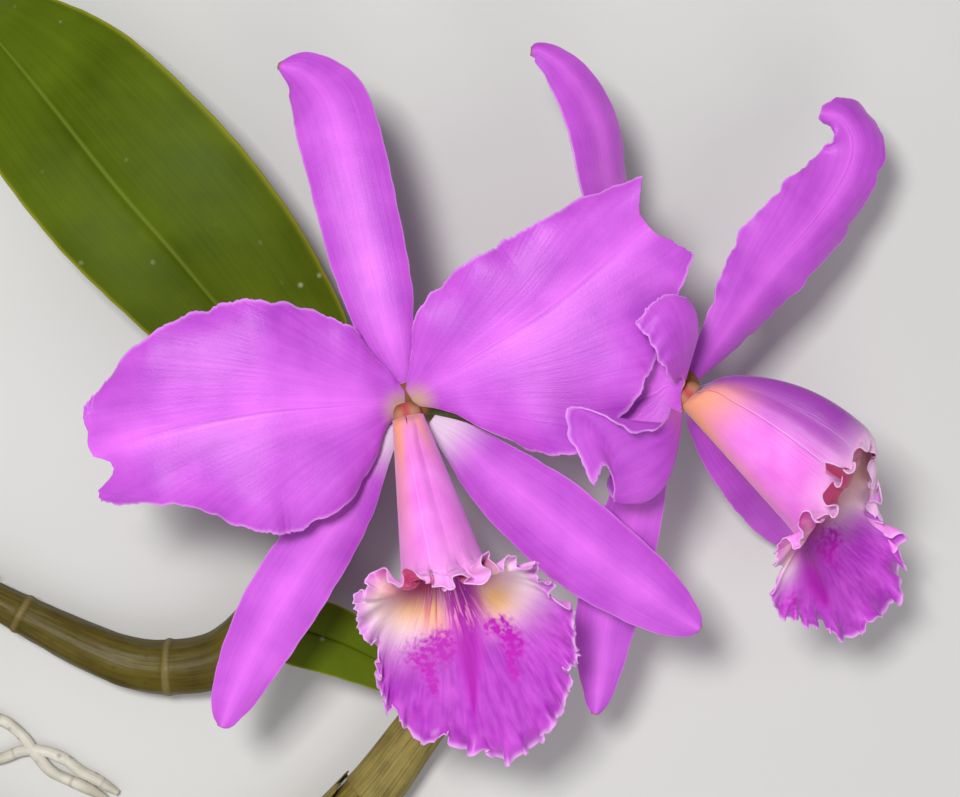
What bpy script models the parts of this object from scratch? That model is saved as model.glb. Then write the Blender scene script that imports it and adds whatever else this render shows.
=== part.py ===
"""A bare flowering growth of a cattleya orchid, as picked, lying on its back.

Two blooms share one flower stalk. It rises from the top of a pseudobulb beside a
strap leaf. A rhizome with loose roots joins that pseudobulb to an older one, which
has a leaf of its own.

Lengths in the tables are millimetres. X runs to the right across the blooms, Y runs
from the lips to the dorsal sepals, and Z is the height above the surface.
"""

import math
import random

import bmesh
import bpy
from mathutils import Matrix, Vector

MM = 0.001
UP = Vector((0.0, 0.0, 1.0))

# The middle of the plant's footprint, in the tables' own frame, becomes the origin.
FOOTPRINT_MIDDLE = Vector((-51.6, -17.5, 0.0))

# Thickness of the soft parts and the gap kept between neighbours
PETAL_THICKNESS = 0.8
CUPPED_PETAL_THICKNESS = 0.65
SEPAL_THICKNESS = 0.9
LIP_THICKNESS = 0.8
LEAF_THICKNESS = 1.6
SHEATH_THICKNESS = 0.7
GAP = 0.3

# Grid sizes, as rows along a blade and columns across it
PETAL_GRID = (20, 10)
SEPAL_GRID = (12, 6)
LEAF_GRID = (14, 6)
SHEATH_GRID = (8, 6)
LIP_GRID = (13, 44)
CUPPED_PETAL_GRID = (15, 18)

# How far the cupped petal cuts the corners of its cage, from 0 to 1
CAGE_EASE = 0.7

# Each blade station is x, y, z, half width to the left, half width to the right,
# and for a blade that turns about its midrib the turn there, in degrees.
DORSAL_SEPAL_1 = (
    (-20.5, 3.6, 60.0, 2.4, 2.4),
    (-24.6, 15.5, 61.0, 6.2, 6.2),
    (-28.1, 27.6, 61.0, 9.8, 9.8),
    (-31.8, 41.6, 60.0, 11.2, 11.2),
    (-36.5, 61.4, 58.0, 11.8, 11.8),
    (-39.5, 73.0, 56.0, 12.0, 12.0),
    (-43.3, 84.6, 53.0, 11.6, 11.3),
    (-50.5, 92.8, 48.5, 7.6, 7.4),
    (-57.8, 95.6, 45.0, 1.0, 1.0),
)
LEFT_PETAL_1 = (
    (-23.6, -1.0, 62.2, 2.6, 2.6),
    (-27.5, -1.0, 63.0, 8.0, 12.0),
    (-32.0, -1.5, 64.5, 18.0, 20.0),
    (-40.5, -2.3, 66.5, 28.5, 26.0),
    (-53.0, -3.0, 69.0, 34.0, 30.0),
    (-62.0, -3.5, 70.0, 35.0, 31.5),
    (-75.0, -6.0, 70.5, 28.5, 30.0),
    (-87.5, -9.5, 70.0, 20.5, 26.0),
    (-96.0, -12.5, 69.0, 17.0, 19.5),
    (-101.8, -14.4, 67.5, 12.5, 13.5),
)
RIGHT_PETAL_1 = (
    (-16.8, 1.6, 62.2, 2.6, 2.6),
    (-14.0, 3.4, 63.0, 10.0, 8.0),
    (-8.5, 7.0, 64.5, 18.0, 19.0),
    (-0.9, 11.8, 66.5, 22.0, 32.0),
    (8.4, 17.6, 68.0, 23.5, 38.5),
    (18.6, 24.0, 69.0, 23.0, 36.0),
    (28.6, 32.0, 69.0, 21.5, 30.0),
    (38.3, 40.3, 68.5, 18.0, 21.0),
    (46.4, 47.0, 67.0, 12.0, 13.5),
)
LEFT_SEPAL_1 = (
    (-24.1, -7.4, 59.8, 2.2, 2.2),
    (-29.8, -17.4, 59.0, 4.5, 5.0),
    (-37.6, -30.2, 58.0, 8.0, 8.5),
    (-47.6, -44.5, 56.5, 10.3, 10.5),
    (-57.0, -58.8, 54.5, 10.7, 10.5),
    (-64.8, -73.2, 52.0, 9.0, 9.0),
    (-70.4, -84.9, 49.5, 6.5, 6.5),
    (-73.0, -91.8, 48.0, 3.4, 3.4),
    (-74.0, -93.8, 47.5, 1.2, 1.2),
)
RIGHT_SEPAL_1 = (
    (-13.9, -6.4, 59.8, 2.2, 2.2),
    (-5.6, -12.3, 59.0, 6.0, 6.0),
    (5.6, -22.5, 58.5, 10.0, 10.0),
    (18.4, -33.0, 58.0, 12.5, 12.3),
    (31.2, -43.6, 57.0, 12.5, 12.5),
    (44.2, -53.2, 55.0, 11.0, 10.5),
    (54.3, -60.5, 53.0, 8.0, 7.5),
    (60.4, -64.3, 51.5, 4.0, 4.0),
    (62.4, -65.6, 51.0, 1.2, 1.2),
)
DORSAL_SEPAL_2 = (
    (54.2, 7.4, 55.6, 2.4, 2.4, 20.0),
    (50.0, 24.0, 52.5, 6.5, 6.5, 38.0),
    (43.0, 43.0, 51.0, 9.5, 9.5, 45.0),
    (36.3, 60.0, 50.0, 10.5, 10.5, 46.0),
    (34.0, 74.5, 49.5, 10.5, 10.5, 42.0),
    (29.8, 85.5, 49.0, 9.0, 9.0, 36.0),
    (23.5, 94.0, 49.0, 6.5, 6.5, 25.0),
    (17.5, 98.5, 49.5, 3.5, 3.5, 15.0),
    (14.5, 99.0, 50.0, 1.2, 1.2, 10.0),
)
FAR_PETAL_2 = (
    (60.2, 6.0, 52.4, 2.4, 2.4, 10.0),
    (71.6, 21.3, 50.0, 8.0, 8.5, 10.0),
    (84.5, 38.0, 46.0, 13.5, 12.0, 5.0),
    (97.6, 53.0, 42.0, 13.5, 12.0, 0.0),
    (106.0, 65.6, 39.0, 10.0, 11.5, 0.0),
    (108.0, 74.5, 38.0, 7.0, 12.0, 0.0),
    (104.5, 80.5, 39.0, 4.0, 9.0, 0.0),
    (98.5, 82.5, 40.5, 1.6, 3.0, 0.0),
)
NEAR_SEPAL_2 = (
    (53.6, -2.0, 54.2, 2.2, 2.2),
    (47.4, -20.3, 50.0, 6.5, 6.5),
    (41.8, -40.5, 46.0, 9.2, 9.0),
    (36.8, -61.0, 42.0, 9.2, 9.0),
    (35.0, -75.8, 39.0, 7.2, 7.0),
    (34.1, -87.8, 36.0, 3.7, 3.5),
    (33.5, -92.0, 35.0, 1.2, 1.2),
)
FAR_SEPAL_2 = (
    (58.6, 2.2, 50.2, 2.2, 2.2),
    (63.5, -4.0, 43.5, 5.0, 5.0),
    (72.0, -14.0, 34.5, 8.5, 8.5),
    (82.0, -25.0, 24.5, 10.0, 10.0),
    (91.0, -36.0, 13.5, 8.5, 8.5),
    (97.0, -44.0, 4.8, 4.5, 4.5),
    (99.0, -47.0, 0.75, 1.2, 1.2),
)
LEAF_1 = (
    (-43.6, -6.4, 12.8, 3.0, 4.0),
    (-49.5, -1.0, 15.0, 8.0, 13.0),
    (-57.0, 5.5, 18.5, 13.0, 24.5),
    (-74.0, 23.0, 24.0, 19.0, 32.5),
    (-91.5, 44.0, 28.0, 23.0, 35.5),
    (-108.0, 63.0, 28.0, 24.5, 35.5),
    (-127.5, 87.0, 22.5, 24.0, 31.0),
    (-144.0, 106.0, 12.0, 19.0, 21.0),
    (-152.0, 114.0, 5.0, 11.0, 12.0),
    (-156.5, 118.5, 0.95, 1.5, 1.5),
)
LEAF_2 = (
    (-15.0, -88.5, 17.0, 3.5, 3.5),
    (-25.5, -80.8, 21.0, 7.5, 7.0),
    (-40.0, -73.0, 24.5, 10.0, 9.5),
    (-54.0, -67.5, 27.0, 11.0, 10.0),
    (-63.0, -64.5, 28.0, 7.0, 7.0),
    (-68.5, -63.0, 28.5, 1.2, 1.2),
)
SHEATH = (
    (-33.5, -2.3, 25.9, 3.5, 3.5),
    (-26.0, -0.2, 26.6, 8.5, 8.5),
    (-16.0, -1.0, 27.8, 8.5, 8.5),
    (-7.0, -3.2, 29.4, 5.5, 5.5),
    (0.0, -5.4, 30.8, 1.0, 1.0),
)

# The near petal of the second bloom curls round the corner of the first bloom's
# petal. Rows run from its base to its far margin. In a row the points run from the
# upper margin over the arch, the ridge, the back, the belly and the fold to the
# lower margin.
NEAR_PETAL_2 = (
    (
        (53.4, 4.6, 66.0),
        (55.6, 6.4, 63.6),
        (57.4, 4.4, 61.0),
        (56.0, 1.0, 59.0),
        (56.8, -4.0, 60.0),
        (54.4, -3.4, 62.6),
        (52.8, -2.6, 65.0),
    ),
    (
        (51.6, 6.6, 70.0),
        (55.5, 12.0, 70.0),
        (61.2, 14.5, 63.2),
        (50.8, 5.0, 60.2),
        (57.0, -12.5, 60.6),
        (53.2, -7.0, 69.0),
        (50.6, -6.8, 74.5),
    ),
    (
        (49.0, 10.5, 74.0),
        (53.8, 16.5, 74.5),
        (63.2, 19.0, 65.6),
        (46.5, 3.0, 59.0),
        (55.0, -30.0, 61.4),
        (44.9, -3.7, 75.5),
        (43.4, -10.7, 80.0),
    ),
    (
        (46.8, 14.2, 75.5),
        (52.0, 21.0, 76.5),
        (63.6, 23.2, 67.4),
        (41.0, 1.0, 58.8),
        (50.0, -36.5, 61.6),
        (33.0, -7.0, 77.5),
        (25.2, 0.0, 81.0),
    ),
    (
        (44.8, 17.6, 76.2),
        (49.6, 24.6, 77.0),
        (63.4, 26.4, 68.4),
        (36.5, -2.0, 58.8),
        (43.0, -36.0, 62.6),
        (34.2, -11.5, 77.5),
        (22.5, -8.0, 80.0),
    ),
    (
        (42.8, 20.8, 76.2),
        (47.0, 27.4, 76.8),
        (61.8, 28.6, 68.6),
        (33.0, -6.0, 59.5),
        (38.0, -33.5, 64.4),
        (35.4, -15.8, 76.5),
        (31.0, -23.5, 79.5),
    ),
)

# Tubes: x, y, z and radius at each station
PSEUDOBULB_1 = (
    (-41.0, -11.0, 14.5, 5.5),
    (-45.0, -24.0, 12.5, 7.4),
    (-54.0, -48.0, 10.5, 8.6),
    (-66.0, -68.0, 9.3, 9.0),
    (-80.0, -79.5, 8.6, 8.9),
    (-100.0, -81.5, 8.0, 8.2),
    (-118.0, -76.0, 8.0, 7.3),
    (-145.0, -62.5, 8.5, 5.6),
    (-160.0, -54.0, 9.5, 4.6),
    (-175.0, -48.0, 9.5, 4.6),
)
PSEUDOBULB_2 = (
    (-13.5, -93.0, 12.0, 4.8),
    (-20.5, -103.0, 10.5, 6.6),
    (-36.0, -123.0, 9.0, 8.0),
    (-58.0, -141.0, 8.3, 8.5),
    (-88.0, -150.0, 8.1, 8.3),
    (-120.0, -148.0, 8.0, 7.0),
    (-148.0, -137.0, 8.8, 5.5),
    (-170.0, -122.0, 8.6, 4.8),
)
RHIZOME = (
    (-172.0, -24.0, 9.0, 3.2),
    (-175.5, -36.0, 8.6, 5.6),
    (-178.0, -60.0, 7.8, 6.2),
    (-176.0, -85.0, 7.4, 6.0),
    (-172.0, -110.0, 7.4, 6.2),
    (-169.0, -132.0, 7.6, 5.8),
    (-167.0, -143.0, 7.6, 3.6),
)
PEDUNCLE = (
    (-38.6, -9.0, 17.6, 2.6),
    (-34.5, -3.0, 20.0, 2.6),
    (-25.0, 0.0, 22.2, 2.6),
    (-8.0, -3.0, 24.0, 2.6),
    (4.0, -6.8, 25.5, 2.7),
    (14.0, -8.0, 27.5, 3.2),
)
PEDICEL_1 = (
    (13.0, -8.0, 27.0, 2.6),
    (8.0, -6.0, 36.0, 2.6),
    (-4.0, -3.0, 46.0, 2.9),
    (-14.5, -1.5, 51.6, 3.1),
    (-19.0, -1.1, 55.6, 3.4),
    (-20.0, -1.0, 58.2, 4.3),
)
PEDICEL_2 = (
    (12.0, -8.2, 27.0, 2.6),
    (23.0, -6.0, 33.0, 2.6),
    (37.0, -1.5, 42.5, 2.9),
    (48.0, 1.6, 49.6, 3.1),
    (52.9, 2.9, 52.4, 3.6),
    (54.1, 3.1, 53.2, 4.6),
)

# Roots leave the rhizome: start, first heading in degrees from +X, and length
ROOTS = (
    ((-176.0, -64.0), -160.0, 62.0),
    ((-174.0, -88.0), 8.0, 74.0),
    ((-173.0, -104.0), -150.0, 52.0),
    ((-171.0, -118.0), 28.0, 66.0),
    ((-171.0, -124.0), -128.0, 50.0),
    ((-177.0, -46.0), 128.0, 46.0),
)
ROOT_RADIUS = 1.8
ROOT_STEP = 6.5
ROOT_WANDER = 24.0
ROOT_REST_HEIGHT = 1.9

# A lip is a trumpet rolled from one sheet: its base, the heading of its lower
# edge, its upper side, and how far each side runs and flares out at the mouth.
LIP_1 = {
    "base": Vector((-20.0, -5.4, 64.4)),
    "axis": Vector((0.23, -0.965, 0.10)),
    "top": Vector((0.0, 0.1, 0.99)),
    "tube": (47.0, 46.0, 46.0),
    "length": (104.0, 64.0, 53.0),
    "flare": (42.0, 76.0, 40.0),
    "width": 11.5,
    "rise": 34.0,
    "swell": (1.0, 1.0),
    "seam": 0.0,
    "twist": 4.0,
}
LIP_2 = {
    "base": Vector((59.8, 0.6, 56.4)),
    "axis": Vector((0.675, -0.738, 0.05)),
    "top": Vector((0.61, 0.59, 0.53)),
    "tube": (50.0, 46.0, 44.0),
    "length": (86.0, 62.0, 49.0),
    "flare": (42.0, 76.0, 40.0),
    "width": 12.0,
    "rise": 36.0,
    "swell": (0.9, 0.5),
    "seam": 46.0,
    "twist": 26.0,
}
LIP_THROAT = 4.0
LIP_FRILL = 2.6
LIP_FRILLS = 11.0
LIP_TURN_LENGTH = 14.0
LIP_FAN_DROP = 0.38
LIP_SLIT_AT_BASE = 0.955
LIP_SLIT_AT_MOUTH = 0.988

COLUMN_LENGTH = 28.0


def smooth_step(low, high, value):
    """0 below low, 1 above high and a smooth rise between them."""
    t = min(max((value - low) / (high - low), 0.0), 1.0)
    return t * t * (3.0 - 2.0 * t)


def catmull_rom(before, start, end, after, t):
    """Value at t on the smooth curve from start to end."""
    linear = (end - before) * t
    square = (2.0 * before - 5.0 * start + 4.0 * end - after) * t * t
    cube = (3.0 * start - before - 3.0 * end + after) * t ** 3
    return 0.5 * (2.0 * start + linear + square + cube)


def eased(before, start, end, after, t):
    """Value at t on a smooth curve that cuts the corner at start and end."""
    first = before * (1.0 - t) ** 3
    second = start * (3.0 * t ** 3 - 6.0 * t * t + 4.0)
    third = end * (-3.0 * t ** 3 + 3.0 * t * t + 3.0 * t + 1.0)
    return (first + second + third + after * t ** 3) / 6.0


def along(stations, place, ease=0.0):
    """All values of a table of stations at a place from 0 to 1 along it.

    The curve runs through the stations, or past them with an ease above 0.
    """
    last = len(stations) - 1
    span = min(int(place * last), last - 1)
    t = place * last - span
    start = stations[span]
    end = stations[span + 1]
    before = stations[span - 1] if span > 0 else mirrored(end, start)
    after = stations[span + 2] if span + 2 <= last else mirrored(start, end)
    mixed = []
    for values in zip(before, start, end, after):
        mixed.append((1.0 - ease) * catmull_rom(*values, t) + ease * eased(*values, t))
    return mixed


def mirrored(point, centre):
    """The values as far past the centre as the point is before it."""
    return [2.0 * middle - value for value, middle in zip(point, centre)]


def material(name, colour, roughness):
    """A plain Principled material in the part's main colour."""
    made = bpy.data.materials.new(name)
    made.use_nodes = True
    shader = made.node_tree.nodes["Principled BSDF"]
    shader.inputs["Base Color"].default_value = (*colour, 1.0)
    shader.inputs["Roughness"].default_value = roughness
    shader.inputs["Metallic"].default_value = 0.0
    return made


def placed(point):
    """A point of the tables as a place in the scene, in metres."""
    return (Vector(point) - FOOTPRINT_MIDDLE) * MM


def add_object(name, mesh, finish, group):
    """A named object with one material, in the given collection."""
    made = bpy.data.objects.new(name, mesh)
    mesh.materials.clear()
    mesh.materials.append(finish)
    group.objects.link(made)
    return made


def sheet_mesh(name, rows, columns, place_of):
    """An open grid of triangles, moved by a rule of its two grid places."""
    surface = bmesh.new()
    bmesh.ops.create_grid(surface, x_segments=columns, y_segments=rows, size=1.0)
    for corner in surface.verts:
        across = 0.5 * (corner.co.x + 1.0)
        up = 0.5 * (corner.co.y + 1.0)
        corner.co = placed(place_of(up, across))
    bmesh.ops.triangulate(surface, faces=surface.faces)
    mesh = bpy.data.meshes.new(name)
    surface.to_mesh(mesh)
    surface.free()
    return mesh


def thicken(sheet, thickness):
    """Give an open sheet its thickness, half on each side."""
    wall = sheet.modifiers.new("Thickness", "SOLIDIFY")
    wall.thickness = thickness * MM
    wall.offset = 0.0
    for face in sheet.data.polygons:
        face.use_smooth = True


def frame_along(stations, place, turn):
    """Tangent, side and normal of a blade at a place along its midrib."""
    step = 0.002
    ahead = Vector(along(stations, min(place + step, 1.0))[:3])
    behind = Vector(along(stations, max(place - step, 0.0))[:3])
    tangent = (ahead - behind).normalized()
    side = tangent.cross(UP).normalized()
    side = Matrix.Rotation(math.radians(turn), 3, tangent) @ side
    return tangent, side, side.cross(tangent)


def blade_rule(stations, shape, waves, fork):
    """The rule that places a blade's grid.

    shape holds the lift, curl and margin roll in degrees, once for the left half
    and once for the right. waves holds the height of the margin's waves, how many
    there are, where they begin, and the depth of its teeth. fork is how far the
    margins run on past the midrib at the tip.
    """
    height, count, phase, teeth = waves

    def place_of(up, across):
        # The rows stand closer together towards the tip.
        place = 1.0 - (1.0 - up) ** 1.25
        values = along(stations, place)
        turn = values[5] if len(values) > 5 else 0.0
        middle = Vector(values[:3])
        tangent, side, normal = frame_along(stations, place, turn)
        reach = 2.0 * across - 1.0
        hand = 1.0 if reach > 0.0 else -1.0
        half = max(values[4] if reach > 0.0 else values[3], 0.4)
        lift, curl, roll = shape[1] if reach > 0.0 else shape[0]
        margin = abs(reach)
        cut = teeth * math.sin(34.0 * place * math.pi + phase) * margin ** 6
        half = half + cut * smooth_step(0.1, 0.4, place)
        sideways = 0.0
        upward = 0.0
        steps = 12
        for step in range(steps):
            part = margin * (step + 0.5) / steps
            angle = math.radians(lift + curl * part + roll * smooth_step(0.65, 1.0, part))
            sideways = sideways + math.cos(angle) * half * margin / steps
            upward = upward + math.sin(angle) * half * margin / steps
        fade = smooth_step(0.05, 0.4, place) * margin ** 2.5
        ripple = height * fade * math.sin(2.0 * math.pi * count * place + phase + hand)
        forward = tangent * fork * margin ** 1.6 * smooth_step(0.8, 1.0, place)
        return middle + forward + side * hand * sideways + normal * (upward + ripple)

    return place_of


def blade(name, stations, grid, thickness, shape, waves, finish, group, fork=0.0):
    """A leaf, sepal or petal: one thin curved sheet along its midrib."""
    mesh = sheet_mesh(name, grid[0], grid[1], blade_rule(stations, shape, waves, fork))
    made = add_object(name, mesh, finish, group)
    thicken(made, thickness)
    return made


def cage_rule(cage, height, count):
    """The rule that places a grid on a smooth sheet through a cage of points."""
    def place_of(up, across):
        rows = [along(row, across, CAGE_EASE) for row in cage]
        point = Vector(along(rows, up, CAGE_EASE))
        rim = abs(2.0 * across - 1.0) ** 5 * smooth_step(0.1, 0.4, up)
        lean = height * rim * math.sin(2.0 * math.pi * count * up)
        return point + Vector((0.3, 0.3, 0.9)) * lean

    return place_of


def share_by_side(values, angle):
    """Blend of the bottom, side and top values round the lip's tube."""
    bottom = max(math.cos(angle), 0.0) ** 2.3
    top = max(-math.cos(angle), 0.0) ** 2.3
    side = 1.0 - bottom - top
    return bottom * values[0] + side * values[1] + top * values[2]


def lip_rule(lip):
    """The rule that places the trumpet-shaped lip's grid."""
    axis = lip["axis"].normalized()
    top = (lip["top"] - axis * lip["top"].dot(axis)).normalized()
    right = top.cross(axis)
    twist = Matrix.Rotation(math.radians(lip["twist"]), 3, axis)
    fan_top = twist @ top
    fan_right = twist @ right
    seam = math.radians(lip["seam"])

    def place_of(up, across):
        spread = 2.0 * across - 1.0
        closing = (LIP_SLIT_AT_MOUTH - LIP_SLIT_AT_BASE) * smooth_step(0.0, 0.35, up)
        angle = math.pi * (LIP_SLIT_AT_BASE + closing) * spread - seam
        tube = share_by_side(lip["tube"], angle)
        length = share_by_side(lip["length"], angle)
        flare = math.radians(share_by_side(lip["flare"], angle))
        reach = up * length
        # Below the mouth the sheet fans out sideways more than it drops.
        drop = LIP_FAN_DROP if math.cos(angle) > 0.0 else 1.0
        fan = fan_right * math.sin(angle) - fan_top * math.cos(angle) * drop
        half_turn = 0.5 * LIP_TURN_LENGTH
        steps = 24
        run_out = Vector((0.0, 0.0, 0.0))
        heading = axis
        for step in range(steps):
            run = reach * (step + 0.5) / steps
            turn = flare * smooth_step(tube - half_turn, tube + half_turn, run)
            heading = (axis * math.cos(turn) + fan * math.sin(turn)).normalized()
            run_out = run_out + heading * (reach / steps)
        grown = min(reach, tube) / tube
        across_radius = LIP_THROAT + (lip["width"] - LIP_THROAT) * grown ** lip["swell"][0]
        high_radius = LIP_THROAT + (0.5 * lip["rise"] - LIP_THROAT) * grown ** lip["swell"][1]
        centre_height = high_radius - LIP_THROAT
        tangent = top * math.sin(angle) + right * math.cos(angle)
        ring = -top * math.cos(angle) * high_radius + right * math.sin(angle) * across_radius
        beyond = smooth_step(tube - 4.0, length, reach)
        frill = LIP_FRILL * beyond * math.sin(LIP_FRILLS * angle + 0.6)
        notch = 1.0 - 0.05 * beyond * math.exp(-(angle / 0.12) ** 2)
        normal = heading.cross(tangent).normalized()
        return lip["base"] + run_out * notch + top * centre_height + ring + normal * frill

    return place_of


def curve_tube(name, stations, rows, resolution, group):
    """A closed tube of changing radius as a mesh, through a table of stations."""
    curve = bpy.data.curves.new(name, "CURVE")
    curve.dimensions = "3D"
    curve.bevel_depth = MM
    curve.bevel_resolution = resolution
    curve.use_fill_caps = True
    line = curve.splines.new("POLY")
    line.points.add(rows)
    for number, point in enumerate(line.points):
        x, y, z, radius = along(stations, number / rows)
        point.co = (*placed((x, y, z)), 1.0)
        point.radius = radius
    drawn = bpy.data.objects.new(name + "_line", curve)
    group.objects.link(drawn)
    bpy.context.view_layer.update()
    depsgraph = bpy.context.evaluated_depsgraph_get()
    mesh = bpy.data.meshes.new_from_object(drawn.evaluated_get(depsgraph))
    bpy.data.objects.remove(drawn)
    mesh.name = name
    welded = bmesh.new()
    welded.from_mesh(mesh)
    bmesh.ops.remove_doubles(welded, verts=welded.verts, dist=1.0e-6)
    bmesh.ops.recalc_face_normals(welded, faces=welded.faces)
    welded.to_mesh(mesh)
    welded.free()
    return mesh


def tube(name, stations, rows, resolution, finish, group):
    """A solid tube as a named object."""
    mesh = curve_tube(name, stations, rows, resolution, group)
    made = add_object(name, mesh, finish, group)
    for face in made.data.polygons:
        face.use_smooth = True
    return made


def as_helper(made):
    """Mark an object as a cutter that isn't part of the plant."""
    made.hide_render = True
    made.display_type = "WIRE"


def join_all(base, others):
    """Fuse the other objects into the base with one Boolean union."""
    pieces = bpy.data.collections.new(base.name + "_pieces")
    bpy.context.scene.collection.children.link(pieces)
    for other in others:
        for owner in list(other.users_collection):
            owner.objects.unlink(other)
        pieces.objects.link(other)
    union = base.modifiers.new("Union", "BOOLEAN")
    union.operation = "UNION"
    union.operand_type = "COLLECTION"
    union.collection = pieces
    union.solver = "EXACT"
    bpy.context.view_layer.update()
    depsgraph = bpy.context.evaluated_depsgraph_get()
    mesh = bpy.data.meshes.new_from_object(base.evaluated_get(depsgraph))
    base.modifiers.clear()
    base.data = mesh
    for other in others:
        bpy.data.objects.remove(other)
    bpy.data.collections.remove(pieces)


def cut_away(made, cutter, name):
    """Take a helper's shape out of an object."""
    cut = made.modifiers.new(name, "BOOLEAN")
    cut.operation = "DIFFERENCE"
    cut.object = cutter
    cut.solver = "EXACT"


def surface_block(group):
    """The space below the surface, which cuts the flat spots that the plant rests on."""
    bpy.ops.mesh.primitive_cube_add(size=1.0, location=placed((-80.0, -60.0, -10.0)))
    block = bpy.context.active_object
    block.name = "surface_block"
    block.scale = (0.4, 0.4, 20.0 * MM)
    for owner in list(block.users_collection):
        owner.objects.unlink(block)
    group.objects.link(block)
    as_helper(block)
    return block


def root_stations(start, heading, length, wander):
    """A root that leaves the rhizome, drops to the surface and wanders along it."""
    stations = [(start[0], start[1], 6.0, ROOT_RADIUS * 1.1)]
    x, y = start
    angle = math.radians(heading)
    for step in range(int(length / ROOT_STEP)):
        angle = angle + math.radians(wander.uniform(-ROOT_WANDER, ROOT_WANDER))
        x = x + math.cos(angle) * ROOT_STEP
        y = y + math.sin(angle) * ROOT_STEP
        drop = smooth_step(0.0, 3.0, step + 1.0)
        height = 6.0 + (ROOT_REST_HEIGHT - 6.0) * drop
        stations.append((x, y, height, ROOT_RADIUS))
    stations[-1] = (*stations[-1][:3], ROOT_RADIUS * 0.55)
    return stations


def make_blooms(group, finishes):
    """The sepals, petals, lips and columns of both blooms."""
    petal = finishes["petal"]
    flat_sepal = ((4.0, -22.0, 0.0), (4.0, -22.0, 0.0))
    no_waves = (0.0, 1.0, 0.0, 0.0)
    sepals = (
        ("bloom_1_dorsal_sepal", DORSAL_SEPAL_1, ((6.0, -32.0, 0.0), (6.0, -32.0, 0.0))),
        ("bloom_1_left_sepal", LEFT_SEPAL_1, flat_sepal),
        ("bloom_1_right_sepal", RIGHT_SEPAL_1, flat_sepal),
        ("bloom_2_dorsal_sepal", DORSAL_SEPAL_2, flat_sepal),
        ("bloom_2_near_sepal", NEAR_SEPAL_2, flat_sepal),
        ("bloom_2_far_sepal", FAR_SEPAL_2, flat_sepal),
    )
    for name, stations, shape in sepals:
        blade(name, stations, SEPAL_GRID, SEPAL_THICKNESS, shape, no_waves, petal, group)

    left = ((8.0, -14.0, -20.0), (8.0, -14.0, -18.0))
    right = ((8.0, -14.0, -18.0), (6.0, -12.0, -16.0))
    far = ((12.0, -30.0, 0.0), (-4.0, -52.0, 0.0))
    petals = (
        ("bloom_1_left_petal", LEFT_PETAL_1, left, (1.8, 4.0, 0.4, 0.7), 5.5),
        ("bloom_1_right_petal", RIGHT_PETAL_1, right, (1.8, 4.0, 2.0, 0.7), 6.5),
        ("bloom_2_far_petal", FAR_PETAL_2, far, (1.2, 4.0, 1.0, 0.5), 0.0),
    )
    for name, stations, shape, waves, fork in petals:
        blade(name, stations, PETAL_GRID, PETAL_THICKNESS, shape, waves, petal, group, fork)
    rows, columns = CUPPED_PETAL_GRID
    name = "bloom_2_near_petal"
    mesh = sheet_mesh(name, rows, columns, cage_rule(NEAR_PETAL_2, 0.5, 4.5))
    cupped = add_object(name, mesh, petal, group)
    thicken(cupped, CUPPED_PETAL_THICKNESS)

    for bloom, lip in (("bloom_1", LIP_1), ("bloom_2", LIP_2)):
        rows, columns = LIP_GRID
        name = bloom + "_lip"
        made = add_object(name, sheet_mesh(name, rows, columns, lip_rule(lip)), finishes["lip"], group)
        thicken(made, LIP_THICKNESS)
        make_column(bloom, lip, group, finishes)


def make_column(bloom, lip, group, finishes):
    """The column that runs inside the lip's tube, with the anther cap at its tip."""
    axis = lip["axis"].normalized()
    top = (lip["top"] - axis * lip["top"].dot(axis)).normalized()
    start = lip["base"] - axis * 3.6
    shape = ((0.0, 0.0, 2.2), (0.35, 1.2, 2.4), (0.7, 3.6, 2.9), (1.0, 6.2, 3.3))
    stations = []
    for place, rise, radius in shape:
        point = start + axis * COLUMN_LENGTH * place + top * rise
        stations.append((*point, radius))
    tube(bloom + "_column", stations, 6, 2, finishes["column"], group)

    tip = Vector(stations[-1][:3])
    lean = (tip - Vector(stations[-2][:3])).normalized()
    cap_shape = ((GAP, 2.3), (2.2, 2.9), (4.4, 2.2), (5.4, 0.9))
    stations = []
    for reach, radius in cap_shape:
        stations.append((*(tip + lean * reach), radius))
    tube(bloom + "_anther_cap", stations, 5, 2, finishes["cap"], group)


def make_stalk(group, finishes):
    """The flower stalk with the two blooms' own stalks, and the sheath at its foot."""
    stalk = tube("flower_stalk", PEDUNCLE, 12, 2, finishes["stem"], group)
    first = tube("pedicel_1", PEDICEL_1, 11, 2, finishes["stem"], group)
    second = tube("pedicel_2", PEDICEL_2, 11, 2, finishes["stem"], group)
    join_all(stalk, [first, second])
    shape = ((0.0, -90.0, 0.0), (0.0, -90.0, 0.0))
    no_waves = (0.0, 1.0, 0.0, 0.0)
    blade("stalk_sheath", SHEATH, SHEATH_GRID, SHEATH_THICKNESS, shape, no_waves, finishes["sheath"], group)


def make_leaves(group, finishes):
    """The strap leaf of the flowering growth and the small leaf of the older one."""
    slight_channel = ((10.0, -12.0, -6.0), (10.0, -12.0, -6.0))
    slow_wave = (0.8, 1.6, 0.0, 0.0)
    blade("leaf_1", LEAF_1, LEAF_GRID, LEAF_THICKNESS, slight_channel, slow_wave, finishes["leaf"], group)
    blade("leaf_2", LEAF_2, LEAF_GRID, LEAF_THICKNESS, slight_channel, slow_wave, finishes["leaf"], group)


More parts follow.
